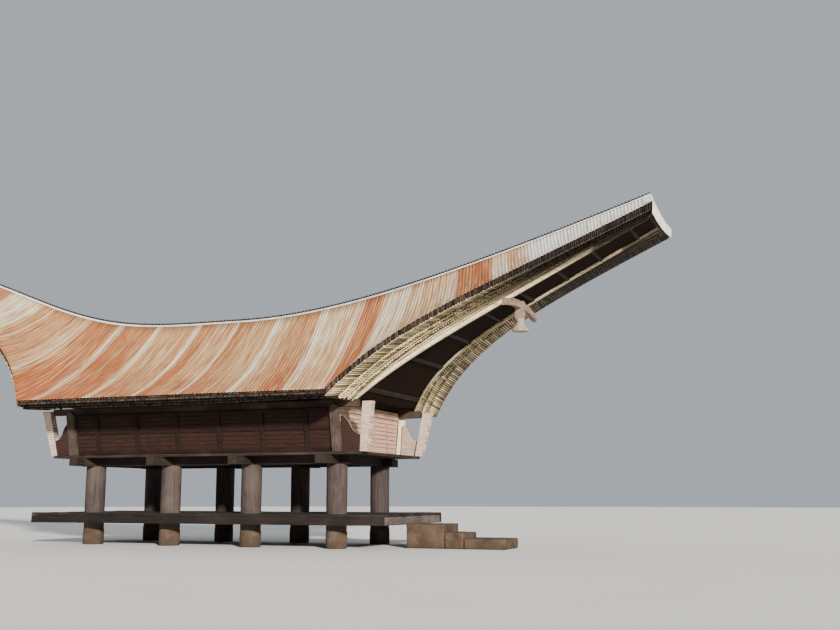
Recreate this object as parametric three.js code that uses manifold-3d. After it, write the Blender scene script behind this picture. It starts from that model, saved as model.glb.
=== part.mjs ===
// A saddle-roofed tongkonan house on eight round columns.
// Millimetres, +Z up. X runs along the ridge with the front prow at +X, Y runs across,
// and the origin is on the ground under the middle of the house.

import * as THREE from 'three';
import { mergeVertices } from 'three/addons/utils/BufferGeometryUtils.js';
import Module from 'manifold-3d';

const wasm = await Module();
wasm.setup();

// Clearance between pieces that rest on or are let into each other
const SEAT_GAP = 0.3;
const MERGE_DISTANCE = 1e-3;
// How far a cutting solid runs past the piece that it cuts
const CUT_OVERSHOOT = 10;

// Columns
const COLUMNS_PER_ROW = 4;
const COLUMN_SPACING = 2140;
const ROW_SPACING = 2400;
const COLUMN_RADIUS = 235;
const COLUMN_TOP = 1830;
const COLUMN_SIDES = 24;
const FOOT_RADIUS = 245;
const FOOT_HEIGHT = 380;

// Sitting platform between the columns
const PLATFORM_TOP = 745;
const DECK_THICKNESS = 60;
const PLATFORM_FRAME_DEPTH = 175;
const PLATFORM_HALF_LENGTH = 4560;
const PLATFORM_HALF_WIDTH = 1810;
const PLATFORM_EDGE_WIDTH = 120;
const BEARER_WIDTH = 140;
const DECK_HOLE_CLEARANCE = 6;

// Stone steps in front of the platform
const STEP_WIDTH = 1000;
const STEP_START = PLATFORM_HALF_LENGTH + SEAT_GAP;
const STEPS = [
  { name: 'stone_step_upper', length: 900, height: 530 },
  { name: 'stone_step_middle', length: 430, height: 350 },
  { name: 'stone_step_lower', length: 960, height: 225 },
];

// Beams on the column tops
const BEAM_DEPTH = 190;
const CROSS_BEAM_WIDTH = 220;
const CROSS_BEAM_HALF_LENGTH = 2080;
const LONG_BEAM_WIDTH = 200;
const LONG_BEAM_HALF_LENGTH = 3560;
const FLOOR_THICKNESS = 60;
const FLOOR_HALF_LENGTH = 4010;
const FLOOR_HALF_WIDTH = 1790;

// Flared box walls
const WALL_BOTTOM = COLUMN_TOP + BEAM_DEPTH + FLOOR_THICKNESS;
const WALL_TOP = 3030;
const WALL_THICKNESS = 60;
const WALL_FOOT_Y = 1700;
const WALL_FLARE = 200;
const WALL_HALF_LENGTH = 3420;
const CORNER_BOARD_WIDTH = 210;
const CORNER_BOARD_LEAD = 150;
const CORNER_BOARD_THICKNESS = 75;
const CORNER_BOARD_TOP = 3085;

// Wings that carry the side walls forward past the end walls
const WING_START = 3572;
const WING_LENGTH = 448;
const WING_THICKNESS = 70;
const WING_FOOT_Y = 1640;
const WING_LEAN = 130;
const WING_POST_WIDTH = 170;
const WING_POST_TOP = 3135;
const WING_RAIL_TOP = 2430;
const WING_SWEEP_RISE = 420;
const WING_POST_LAP = 40;

// Wall plates, tie beams and gable walls
const PLATE_DEPTH = 150;
const PLATE_WIDTH = 140;
const PLATE_HALF_LENGTH = 4010;
const PLATE_Y = 1828;
const TIE_DEPTH = 150;
const TIE_WIDTH = 160;
const TIE_HALF_LENGTH = 2440;
const TIE_PLACES = [-3320, -1070, 1070, 3320];
const PURLIN_WIDTH = 150;
const PURLIN_Y = 2350;
const PLATE_TOP = WALL_TOP + PLATE_DEPTH;
const TIE_TOP = PLATE_TOP + TIE_DEPTH;
const GABLE_FACE = 3440;
const GABLE_THICKNESS = 40;
const RIDGE_BEAM_WIDTH = 160;
const RIDGE_BEAM_DEPTH = 200;
const RIDGE_BEAM_END = 15;
const GABLE_FOOT_MARGIN = 80;
const GABLE_APEX_DROP = 2;

// Roof surface: a ridge that sags in the middle and two edges that climb the prows
const RIDGE_LOW = 5390;
const RIDGE_RISE = 1765;
const RIDGE_BEND = 5000;
const REAR_DIP = 290;
const REAR_DIP_LENGTH = 8600;
const RIDGE_TIP = 10060;
const EDGE_TIP = 10290;
const EAVE_END = 3900;
const EAVE_HEIGHT = 3290;
const EAVE_HALF_WIDTH = 3250;
const PROW_HALF_WIDTH = 1150;
const PROW_NARROWING = 2300;
const PROW_CLIMB = 0.43;
const PROW_KICK = 1035;
const PROW_KICK_LENGTH = 1090;
const BODY_STATIONS = 4;
const PROW_STATIONS = 10;
const PROW_STATION_CROWDING = 1.4;
// The slope is hollow: it starts steep at the ridge and flattens towards the edge
const SLOPE_HOLLOW = 0.27;
const HOLLOW_SHARES = [0, 0.25, 0.5, 0.75];

// Roof build-up
const SHEET_THICKNESS = 18;
const SHEET_OVERHANG = 45;
const LAYERS = 3;
const LAYER_THICKNESS = 115;
const LAYER_STEP = 105;
const BODY_UNDERSIDE_INSETS = [300, 800, 1300];
const TRIM_ALLOWANCE = 50;

// Deep stepped rim of each prow, which starts just in front of the last body section
const RIM_LEAD = 20;
const RIM_DEPTH = 150;
const RIM_UNDERCUT = 90;
const RIM_STEP_SHARES = [0.45, 0.75];

// Barge boards: their lower edge starts on the wall plates and closes in towards the tip
const BARGE_THICKNESS = 50;
const BARGE_HALF_SPREAD = 577;
const BARGE_SPREAD = 1206;
const BARGE_NARROWING = 1169;
const BARGE_CLIMB = 0.489;
const BARGE_KICK = 634;
const BARGE_KICK_LENGTH = 902;
const LINING_SETBACK = 60;
const SOFFIT_THICKNESS = 30;
const SOFFIT_RISE = 60;

// Arched beam and pendant under each prow
const PROW_BEAM_SECTION = 7000;
const PROW_BEAM_THICKNESS = 110;
const PROW_BEAM_DEPTH = 150;
const PROW_BEAM_ARCH = 120;
const PROW_BEAM_LAP = 45;
const PROW_BEAM_HALF_LENGTH = 1230;
const KNOB_WIDTH = 170;
const KNOB_DEPTH = 380;
const KNOB_PROUD = 40;
const PENDANT_HEIGHT = 290;
const PENDANT_NECK = 75;
const PENDANT_RIM = 195;

// Finishes: colour, roughness, metalness
const FINISHES = {
  columnWood: [0x9a9094, 0.8, 0],
  deckWood: [0x57504c, 0.85, 0],
  beamWood: [0x5e4f48, 0.85, 0],
  stone: [0xb09a82, 0.95, 0],
  carvedWood: [0x8a4f3a, 0.8, 0],
  paleWood: [0xcfc2ad, 0.8, 0],
  darkWood: [0x3a302b, 0.85, 0],
  bamboo: [0xa08a68, 0.85, 0],
  sheetIron: [0xc9a98c, 0.55, 0.35],
};

const house = new THREE.Group();

function addPiece(name, geometry, finishName) {
  const [color, roughness, metalness] = FINISHES[finishName];
  const mesh = new THREE.Mesh(geometry, new THREE.MeshStandardMaterial({ color, roughness, metalness }));
  mesh.name = name;
  house.add(mesh);
  return mesh;
}

// Meshes with normals have split corners, which are merged so that the surface closes
function sharedCorners(geometry) {
  if (!geometry.attributes.normal) {
    return geometry.clone();
  }
  const plain = geometry.clone();
  plain.deleteAttribute('normal');
  plain.deleteAttribute('uv');
  return mergeVertices(plain, MERGE_DISTANCE);
}

// A closed mesh as a solid that can be joined or cut
function asSolid(geometry) {
  const closed = sharedCorners(geometry);
  return new wasm.Manifold(new wasm.Mesh({
    numProp: 3,
    vertProperties: Float32Array.from(closed.attributes.position.array),
    triVerts: Uint32Array.from(closed.index.array),
  }));
}

function asGeometry(solid) {
  const mesh = solid.getMesh();
  const geometry = new THREE.BufferGeometry();
  geometry.setAttribute('position', new THREE.BufferAttribute(Float32Array.from(mesh.vertProperties), 3));
  geometry.setIndex(Array.from(mesh.triVerts));
  return geometry;
}

function joined(geometries) {
  return asGeometry(geometries.map(asSolid).reduce((sum, solid) => sum.add(solid)));
}

function cutFrom(geometry, cutters) {
  return asGeometry(cutters.map(asSolid).reduce((rest, cutter) => rest.subtract(cutter), asSolid(geometry)));
}

// A box given by its lowest and highest corners
function boxBetween(low, high) {
  const size = high.map((value, axis) => value - low[axis]);
  const centre = high.map((value, axis) => (value + low[axis]) / 2);
  return new THREE.BoxGeometry(...size).translate(...centre);
}

function flipFaces(geometry) {
  const index = geometry.index.array;
  for (let i = 0; i < index.length; i += 3) {
    [index[i + 1], index[i + 2]] = [index[i + 2], index[i + 1]];
  }
  return geometry;
}

// Send every point of a geometry through a rule; turned is true when the rule mirrors it
function reshape(geometry, rule, turned) {
  const changed = sharedCorners(geometry);
  const position = changed.attributes.position;
  const point = new THREE.Vector3();
  for (let i = 0; i < position.count; i += 1) {
    point.fromBufferAttribute(position, i);
    position.setXYZ(i, ...rule(point));
  }
  return turned ? flipFaces(changed) : changed;
}

// The same piece on another quarter of the house: end is 1 in front, side is -1 on the right
function onQuarter(geometry, end, side) {
  return reshape(geometry, (p) => [p.x * end, p.y * side, p.z], end * side < 0);
}

function signedArea(outline) {
  return THREE.ShapeUtils.area(outline);
}

function signedVolume(positions, index) {
  const [a, b, c] = [new THREE.Vector3(), new THREE.Vector3(), new THREE.Vector3()];
  let sum = 0;
  for (let i = 0; i < index.length; i += 3) {
    a.fromArray(positions, index[i] * 3);
    b.fromArray(positions, index[i + 1] * 3);
    c.fromArray(positions, index[i + 2] * 3);
    sum += a.dot(b.cross(c));
  }
  return sum / 6;
}

// Skin a run of closed sections with equal numbers of points into one closed solid. Each
// quad is split along its shorter diagonal, so that parallel surfaces are split alike.
function loft(sections) {
  const count = sections[0].length;
  const positions = sections.flat().flat();
  const corners = sections.flat().map((point) => new THREE.Vector3(...point));
  const index = [];
  for (let i = 0; i + 1 < sections.length; i += 1) {
    for (let j = 0; j < count; j += 1) {
      const a = i * count + j;
      const b = i * count + ((j + 1) % count);
      const [c, d] = [a + count, b + count];
      if (corners[a].distanceTo(corners[d]) < corners[b].distanceTo(corners[c])) {
        index.push(a, b, d, a, d, c);
      } else {
        index.push(a, b, c, b, d, c);
      }
    }
  }
  for (const [start, sense] of [[0, -1], [(sections.length - 1) * count, 1]]) {
    const outline = sections[start / count].map(([, y, z]) => new THREE.Vector2(y, z));
    const faces = THREE.ShapeUtils.triangulateShape(outline, []);
    const faceArea = faces.reduce((sum, face) => sum + signedArea(face.map((i) => outline[i])), 0);
    const keep = faceArea * signedArea(outline) * sense > 0;
    for (const [a, b, c] of faces) {
      index.push(start + a, ...(keep ? [start + b, start + c] : [start + c, start + b]));
    }
  }
  const geometry = new THREE.BufferGeometry();
  geometry.setAttribute('position', new THREE.Float32BufferAttribute(positions, 3));
  geometry.setIndex(index);
  return signedVolume(positions, index) < 0 ? flipFaces(geometry) : geometry;
}

// Roof surface

function pastEave(x) {
  return Math.max(0, Math.abs(x) - EAVE_END);
}

// The ridge stays low a little longer towards the rear than towards the front
function ridgeHeight(x) {
  const rearShare = Math.min(1, Math.max(0, -x / REAR_DIP_LENGTH));
  const dip = REAR_DIP * Math.sin(Math.PI * rearShare) ** 2;
  return RIDGE_LOW + RIDGE_RISE * (Math.hypot(1, x / RIDGE_BEND) - 1) - dip;
}

function edgeHalfWidth(x) {
  const share = Math.exp(-pastEave(x) / PROW_NARROWING);
  return PROW_HALF_WIDTH + (EAVE_HALF_WIDTH - PROW_HALF_WIDTH) * share;
}

function edgeHeight(x) {
  const past = pastEave(x);
  return EAVE_HEIGHT + PROW_CLIMB * past + PROW_KICK * (1 - Math.exp(-past / PROW_KICK_LENGTH));
}

// The edge runs a little further forward than the ridge, so each section leans with the prow
function edgePlace(ridgeX) {
  const stretch = (EDGE_TIP - EAVE_END) / (RIDGE_TIP - EAVE_END);
  return Math.sign(ridgeX) * (Math.min(Math.abs(ridgeX), EAVE_END) + pastEave(ridgeX) * stretch);
}

// A point of the slope in the section that starts at ridgeX: reach is measured inwards from
// the edge in plan, or outwards where it is negative, and drop is measured down from the surface
function slopePoint(ridgeX, side, inset, drop) {
  const edgeX = edgePlace(ridgeX);
  const halfWidth = edgeHalfWidth(edgeX);
  const share = Math.max(0, 1 - inset / halfWidth);
  const x = ridgeX + (edgeX - ridgeX) * share;
  const y = side * Math.max(SEAT_GAP / 2, halfWidth * share);
  const z = ridgeHeight(ridgeX) + (edgeHeight(edgeX) - ridgeHeight(ridgeX)) * share - drop;
  return [x, y, z];
}

// A point of the hollow top of the slope, share of the way from the ridge to the edge in plan
function topPoint(ridgeX, side, share, drop) {
  const halfWidth = edgeHalfWidth(edgePlace(ridgeX));
  const hollow = SLOPE_HOLLOW * halfWidth * share * (1 - share);
  return slopePoint(ridgeX, side, halfWidth * (1 - share), drop + hollow);
}

// Height of a straight slope over any place in plan, which the underside of the body follows
function surfaceHeight(x, y) {
  const fall = (ridgeHeight(x) - edgeHeight(x)) / edgeHalfWidth(x);
  return ridgeHeight(x) - fall * Math.abs(y);
}

// Stations from the end of the eave to where the boards and the lining under the prow stop
function liningPlaces() {
  const length = RIDGE_TIP - LINING_SETBACK - EAVE_END;
  const shares = Array.from({ length: PROW_STATIONS + 1 }, (_, i) => i / PROW_STATIONS);
  return shares.map((share) => EAVE_END + length * share ** PROW_STATION_CROWDING);
}

function roofPlaces() {
  const half = [];
  for (let i = 1; i < BODY_STATIONS; i += 1) {
    half.push((EAVE_END * i) / BODY_STATIONS);
  }
  half.push(EAVE_END - RIM_LEAD, ...liningPlaces(), RIDGE_TIP);
  return [...half.map((x) => -x).reverse(), 0, ...half];
}

// The roof's own stations up to a limit, so that a piece under the roof bends where it does
function placesWithin(limit) {
  return [-limit, ...roofPlaces().filter((x) => Math.abs(x) < limit - 1), limit];
}

const ROOF_DEPTH = LAYERS * LAYER_THICKNESS;
const TO_RIDGE = Infinity;

// Half distance between the outer faces of the barge boards
function bargeHalfSpread(x) {
  return BARGE_HALF_SPREAD + BARGE_SPREAD * Math.exp(-pastEave(x) / BARGE_NARROWING);
}

// Height of the lower edge of the barge boards
function bargeFoot(x) {
  const past = pastEave(x);
  const kick = BARGE_KICK * (1 - Math.exp(-past / BARGE_KICK_LENGTH));
  return PLATE_TOP + SEAT_GAP + BARGE_CLIMB * past + kick;
}

// A point of a prow's section: y is the distance from the middle and z its height, and the
// section leans forward as much as the roof surface does there
function prowPoint(ridgeX, side, y, z) {
  const edgeX = edgePlace(ridgeX);
  return [ridgeX + ((edgeX - ridgeX) * y) / edgeHalfWidth(edgeX), side * y, z];
}

// Under the body of the house the three layers are stepped in one under the other
function bodySection(x, side, lowered) {
  const section = HOLLOW_SHARES.map((share) => topPoint(x, side, share, lowered));
  for (let layer = 0; layer < LAYERS; layer += 1) {
    section.push(slopePoint(x, side, layer * LAYER_STEP, lowered + layer * LAYER_THICKNESS));
    section.push(slopePoint(x, side, layer * LAYER_STEP, lowered + (layer + 1) * LAYER_THICKNESS));
  }
  for (const inset of [...BODY_UNDERSIDE_INSETS, TO_RIDGE]) {
    section.push(slopePoint(x, side, inset, lowered + ROOF_DEPTH));
  }
  return section;
}

// Under a prow the steps are wide and almost level, as far in as the barge board
function prowSection(x, side, lowered) {
  const edgeX = edgePlace(x);
  const halfWidth = edgeHalfWidth(edgeX);
  const spread = bargeHalfSpread(edgeX);
  const foot = edgeHeight(edgeX) - lowered - RIM_DEPTH;
  const section = [...HOLLOW_SHARES, 1].map((share) => topPoint(x, side, share, lowered));
  section.push(prowPoint(x, side, halfWidth, foot));
  for (const share of RIM_STEP_SHARES) {
    const y = halfWidth - (halfWidth - spread) * share;
    section.push(prowPoint(x, side, y, foot + RIM_UNDERCUT), prowPoint(x, side, y, foot));
  }
  const heel = spread - BARGE_THICKNESS;
  section.push(prowPoint(x, side, spread, foot + RIM_UNDERCUT));
  section.push(prowPoint(x, side, heel, foot + RIM_UNDERCUT));
  section.push(slopePoint(x, side, halfWidth - heel, lowered + ROOF_DEPTH));
  section.push(slopePoint(x, side, TO_RIDGE, lowered + ROOF_DEPTH));
  return section;
}

function bambooSlope(side, lowered) {
  return loft(roofPlaces().map((x) => {
    const makeSection = Math.abs(x) < EAVE_END ? bodySection : prowSection;
    return makeSection(x, side, lowered);
  }));
}

// Trim a piece that stands a little too tall so that it seats against the bamboo
function fittedUnderRoof(geometry) {
  return cutFrom(geometry, [bambooSlope(-1, SEAT_GAP), bambooSlope(1, SEAT_GAP)]);
}

function sheetSlope(side) {
  return loft(roofPlaces().map((x) => {
    const overhang = 1 + SHEET_OVERHANG / edgeHalfWidth(edgePlace(x));
    const shares = [...HOLLOW_SHARES, 1, overhang];
    const top = shares.map((share) => topPoint(x, side, share, -SHEET_THICKNESS - SEAT_GAP));
    const bottom = shares.map((share) => topPoint(x, side, share, -SEAT_GAP));
    return [...top, ...bottom.reverse()];
  }));
}

// A barge board stands on edge under the inner end of the rim
function bargeBoard(side) {
  return loft(liningPlaces().map((x) => {
    const edgeX = edgePlace(x);
    const top = edgeHeight(edgeX) - RIM_DEPTH + RIM_UNDERCUT - SEAT_GAP;
    const outer = bargeHalfSpread(edgeX);
    const inner = outer - BARGE_THICKNESS;
    return [
      prowPoint(x, side, outer, top),
      prowPoint(x, side, outer, bargeFoot(edgeX)),
      prowPoint(x, side, inner, bargeFoot(edgeX)),
      prowPoint(x, side, inner, top),
    ];
  }));
}

// The level lining between the two barge boards, which starts at the gable wall
function soffit() {
  return loft([GABLE_FACE + SOFFIT_THICKNESS, ...liningPlaces()].map((x) => {
    const edgeX = edgePlace(x);
    const half = bargeHalfSpread(edgeX) - BARGE_THICKNESS - SEAT_GAP;
    const bottom = bargeFoot(edgeX) + SOFFIT_RISE;
    return [
      prowPoint(x, -1, half, bottom),
      prowPoint(x, 1, half, bottom),
      prowPoint(x, 1, half, bottom + SOFFIT_THICKNESS),
      prowPoint(x, -1, half, bottom + SOFFIT_THICKNESS),
    ];
  }));
}

// Substructure

function columnPlaces() {
  const first = ((COLUMNS_PER_ROW - 1) * COLUMN_SPACING) / 2;
  return Array.from({ length: COLUMNS_PER_ROW }, (_, i) => first - i * COLUMN_SPACING);
}

const FRAME_BOTTOM = PLATFORM_TOP - DECK_THICKNESS - PLATFORM_FRAME_DEPTH;
const FRAME_TOP = PLATFORM_TOP - DECK_THICKNESS;

function bearerBox(x, clearance) {
  const half = BEARER_WIDTH / 2 + clearance;
  const reach = PLATFORM_HALF_WIDTH - PLATFORM_EDGE_WIDTH / 2;
  return boxBetween(
    [x - half, -reach, FRAME_BOTTOM - clearance],
    [x + half, reach, FRAME_TOP + clearance],
  );
}

function columnRound(radius, bottom, top) {
  const round = new THREE.CylinderGeometry(radius, radius, top - bottom, COLUMN_SIDES);
  return round.rotateX(Math.PI / 2).translate(0, 0, (top + bottom) / 2);
}

function addColumns() {
  const body = joined([columnRound(COLUMN_RADIUS, 0, COLUMN_TOP), columnRound(FOOT_RADIUS, 0, FOOT_HEIGHT)]);
  const mortised = cutFrom(body, [bearerBox(0, SEAT_GAP)]);
  for (const [sideName, side] of [['right', -1], ['left', 1]]) {
    columnPlaces().forEach((x, i) => {
      const column = addPiece(`column_${sideName}_${i + 1}`, mortised, 'columnWood');
      column.position.set(x, (side * ROW_SPACING) / 2, 0);
    });
  }
}

function addPlatform() {
  const [length, width, edge] = [PLATFORM_HALF_LENGTH, PLATFORM_HALF_WIDTH, PLATFORM_EDGE_WIDTH];
  const rails = [];
  for (const side of [-1, 1]) {
    const [y0, y1] = [side * width, side * (width - edge)].sort((a, b) => a - b);
    rails.push(boxBetween([-length, y0, FRAME_BOTTOM], [length, y1, FRAME_TOP]));
    const [x0, x1] = [side * length, side * (length - edge)].sort((a, b) => a - b);
    rails.push(boxBetween([x0, -width, FRAME_BOTTOM], [x1, width, FRAME_TOP]));
  }
  const bearers = columnPlaces().map((x) => bearerBox(x, 0));
  addPiece('platform_frame', joined([...rails, ...bearers]), 'deckWood');

  const deck = boxBetween([-length, -width, FRAME_TOP], [length, width, PLATFORM_TOP]);
  const holes = columnPlaces().flatMap((x) => [-1, 1].map((side) => {
    const radius = COLUMN_RADIUS + DECK_HOLE_CLEARANCE;
    const hole = columnRound(radius, FRAME_TOP - CUT_OVERSHOOT, PLATFORM_TOP + CUT_OVERSHOOT);
    return hole.translate(x, (side * ROW_SPACING) / 2, 0);
  }));
  addPiece('platform_deck', cutFrom(deck, holes), 'deckWood');
}

function addSteps() {
  let x = STEP_START;
  for (const { name, length, height } of STEPS) {
    const block = addPiece(name, new THREE.BoxGeometry(length, STEP_WIDTH, height), 'stone');
    block.position.set(x + length / 2, 0, height / 2);
    x += length;
  }
}

// Cross beams keep their lower half at each crossing and the long beams their upper half
function addFloorBeams() {
  const [bottom, top] = [COLUMN_TOP, COLUMN_TOP + BEAM_DEPTH];
  const middle = (bottom + top) / 2;
  const half = CROSS_BEAM_WIDTH / 2;
  const rowY = ROW_SPACING / 2;
  columnPlaces().forEach((x, i) => {
    const beam = boxBetween(
      [x - half, -CROSS_BEAM_HALF_LENGTH, bottom],
      [x + half, CROSS_BEAM_HALF_LENGTH, top],
    );
    const laps = [-1, 1].map((side) => boxBetween(
      [x - half - CUT_OVERSHOOT, side * rowY - LONG_BEAM_WIDTH / 2 - SEAT_GAP, middle],
      [x + half + CUT_OVERSHOOT, side * rowY + LONG_BEAM_WIDTH / 2 + SEAT_GAP, top + CUT_OVERSHOOT],
    ));
    addPiece(`cross_beam_${i + 1}`, cutFrom(beam, laps), 'beamWood');
  });
  for (const [sideName, side] of [['right', -1], ['left', 1]]) {
    const [y0, y1] = [side * rowY - LONG_BEAM_WIDTH / 2, side * rowY + LONG_BEAM_WIDTH / 2];
    const beam = boxBetween([-LONG_BEAM_HALF_LENGTH, y0, bottom], [LONG_BEAM_HALF_LENGTH, y1, top]);
    const laps = columnPlaces().map((x) => boxBetween(
      [x - half - SEAT_GAP, y0 - CUT_OVERSHOOT, bottom - CUT_OVERSHOOT],
      [x + half + SEAT_GAP, y1 + CUT_OVERSHOOT, middle + SEAT_GAP],
    ));
    addPiece(`long_beam_${sideName}`, cutFrom(beam, laps), 'beamWood');
  }
  addPiece('floor', boxBetween(
    [-FLOOR_HALF_LENGTH, -FLOOR_HALF_WIDTH, top],
    [FLOOR_HALF_LENGTH, FLOOR_HALF_WIDTH, WALL_BOTTOM],
  ), 'beamWood');
}

// Walls

// How far a wall has flared outwards at a height
function flareAt(z) {
  return (WALL_FLARE * (z - WALL_BOTTOM)) / (WALL_TOP - WALL_BOTTOM);
}

function flared(geometry, side) {
  return reshape(geometry, (p) => [p.x, side * (p.y + flareAt(p.z)), p.z], side < 0);
}

function addWalls() {
  const bottom = WALL_BOTTOM + SEAT_GAP;
  const sideWall = boxBetween(
    [-WALL_HALF_LENGTH, WALL_FOOT_Y - WALL_THICKNESS, bottom],
    [WALL_HALF_LENGTH, WALL_FOOT_Y, WALL_TOP],
  );
  addPiece('wall_right', flared(sideWall, -1), 'carvedWood');
  addPiece('wall_left', flared(sideWall, 1), 'carvedWood');

  const halfWidth = (z) => WALL_FOOT_Y - WALL_THICKNESS - 1 + flareAt(z);
  const section = (x) => [
    [x, -halfWidth(bottom), bottom],
    [x, halfWidth(bottom), bottom],
    [x, halfWidth(WALL_TOP), WALL_TOP],
    [x, -halfWidth(WALL_TOP), WALL_TOP],
  ];
  const endWall = loft([section(WALL_HALF_LENGTH - WALL_THICKNESS), section(WALL_HALF_LENGTH)]);
  addPiece('wall_front', endWall, 'carvedWood');
  addPiece('wall_rear', onQuarter(endWall, -1, 1), 'carvedWood');
}

// A tall board with a rounded head that covers each corner of the box
function cornerBoard() {
  const radius = CORNER_BOARD_WIDTH / 2;
  const shape = new THREE.Shape();
  shape.moveTo(-radius, WALL_BOTTOM + SEAT_GAP);
  shape.lineTo(radius, WALL_BOTTOM + SEAT_GAP);
  shape.absarc(0, CORNER_BOARD_TOP - radius, radius, 0, Math.PI, false);
  shape.closePath();
  const board = new THREE.ExtrudeGeometry(shape, {
    depth: CORNER_BOARD_THICKNESS,
    bevelEnabled: false,
    curveSegments: 6,
  });
  board.rotateX(Math.PI / 2);
  const middle = WALL_HALF_LENGTH - radius + CORNER_BOARD_LEAD;
  return board.translate(middle, WALL_FOOT_Y + SEAT_GAP + CORNER_BOARD_THICKNESS, 0);
}

// A wing: a low panel with a swept top, and a leaning post at its outer end
function wing() {
  const bottom = WALL_BOTTOM + SEAT_GAP;
  const end = WING_LENGTH;
  const panel = new THREE.Shape();
  panel.moveTo(0, bottom);
  panel.lineTo(end, bottom);
  panel.lineTo(end, WING_RAIL_TOP);
  const sweepTop = WING_RAIL_TOP + WING_SWEEP_RISE;
  panel.quadraticCurveTo(end * 0.55, WING_RAIL_TOP, end * 0.35, WING_RAIL_TOP + WING_SWEEP_RISE * 0.6);
  panel.quadraticCurveTo(end * 0.2, WING_RAIL_TOP + WING_SWEEP_RISE * 0.95, 0, sweepTop);
  panel.closePath();
  const sheet = new THREE.ExtrudeGeometry(panel, {
    depth: WING_THICKNESS,
    bevelEnabled: false,
    curveSegments: 5,
  });
  sheet.rotateX(Math.PI / 2).translate(0, WING_THICKNESS, 0);
  const post = boxBetween(
    [end - WING_POST_LAP, -(WING_POST_WIDTH - WING_THICKNESS), bottom],
    [end - WING_POST_LAP + WING_POST_WIDTH, WING_THICKNESS, WING_POST_TOP],
  );
  const upright = joined([sheet, post]);
  const leanAt = (z, s) => (WING_LEAN * (z - bottom) * Math.max(0, s)) / ((WALL_TOP - bottom) * end);
  return reshape(upright, (p) => [
    WING_START + p.x + leanAt(p.z, p.x),
    WING_FOOT_Y + p.y + flareAt(p.z) * 0.8,
    p.z,
  ], false);
}

function addCornerPieces() {
  const board = reshape(cornerBoard(), (p) => [p.x, p.y + flareAt(p.z), p.z], false);
  const wingShape = wing();
  for (const [endName, end] of [['front', 1], ['rear', -1]]) {
    for (const [sideName, side] of [['right', -1], ['left', 1]]) {
      addPiece(`corner_board_${endName}_${sideName}`, onQuarter(board, end, side), 'paleWood');
      addPiece(`wing_${endName}_${sideName}`, onQuarter(wingShape, end, side), 'carvedWood');
    }
  }
}

// Roof carpentry

function undersideAt(x, y) {
  return surfaceHeight(x, y) - ROOF_DEPTH;
}

function addPlatesAndTies() {
  for (const [sideName, side] of [['right', -1], ['left', 1]]) {
    const plate = new THREE.BoxGeometry(2 * PLATE_HALF_LENGTH, PLATE_WIDTH, PLATE_DEPTH);
    addPiece(`wall_plate_${sideName}`, plate, 'paleWood')
      .position.set(0, side * PLATE_Y, WALL_TOP + PLATE_DEPTH / 2);
  }
  TIE_PLACES.forEach((x, i) => {
    const tie = new THREE.BoxGeometry(TIE_WIDTH, 2 * TIE_HALF_LENGTH, TIE_DEPTH);
    addPiece(`tie_beam_${TIE_PLACES.length - i}`, tie, 'darkWood')
      .position.set(x, 0, PLATE_TOP + TIE_DEPTH / 2);
  });
}

// Eave purlins lie on the tie beams, and their top follows the underside of the roof
function addPurlins() {
  const last = TIE_PLACES[TIE_PLACES.length - 1] + TIE_WIDTH / 2;
  const [inner, outer] = [PURLIN_Y - PURLIN_WIDTH / 2, PURLIN_Y + PURLIN_WIDTH / 2];
  const purlin = fittedUnderRoof(loft(placesWithin(last).map((x) => [
    [x, inner, TIE_TOP + SEAT_GAP],
    [x, outer, TIE_TOP + SEAT_GAP],
    [x, outer, undersideAt(x, outer) + TRIM_ALLOWANCE],
    [x, inner, undersideAt(x, inner) + TRIM_ALLOWANCE],
  ])));
  addPiece('eave_purlin_left', purlin, 'darkWood');
  addPiece('eave_purlin_right', onQuarter(purlin, 1, -1), 'darkWood');
}

function ridgeBeam(clearance, headroom) {
  const half = RIDGE_BEAM_WIDTH / 2 + clearance;
  return loft(placesWithin(GABLE_FACE + RIDGE_BEAM_END + clearance).map((x) => {
    const top = undersideAt(x, RIDGE_BEAM_WIDTH / 2) + headroom;
    const bottom = undersideAt(x, RIDGE_BEAM_WIDTH / 2) - RIDGE_BEAM_DEPTH - clearance;
    return [[x, -half, bottom], [x, half, bottom], [x, half, top], [x, -half, top]];
  }));
}

function addGables() {
  addPiece('ridge_beam', fittedUnderRoof(ridgeBeam(0, CUT_OVERSHOOT)), 'darkWood');
  const foot = TIE_TOP + SEAT_GAP;
  const section = (x) => {
    const fall = (ridgeHeight(x) - edgeHeight(x)) / edgeHalfWidth(x);
    const halfWidth = (undersideAt(x, 0) - foot) / fall - GABLE_FOOT_MARGIN;
    return [
      [x, -halfWidth, foot],
      [x, halfWidth, foot],
      [x, halfWidth, undersideAt(x, halfWidth) + TRIM_ALLOWANCE],
      [x, 0, undersideAt(x, 0) - GABLE_APEX_DROP],
      [x, -halfWidth, undersideAt(x, halfWidth) + TRIM_ALLOWANCE],
    ];
  };
  const inner = GABLE_FACE - GABLE_THICKNESS;
  for (const [endName, end] of [['front', 1], ['rear', -1]]) {
    const blank = loft([section(end * inner), section(end * GABLE_FACE)]);
    const wall = fittedUnderRoof(cutFrom(blank, [ridgeBeam(SEAT_GAP, RIDGE_BEAM_WIDTH)]));
    addPiece(`gable_wall_${endName}`, wall, 'darkWood');
  }
}

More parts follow.
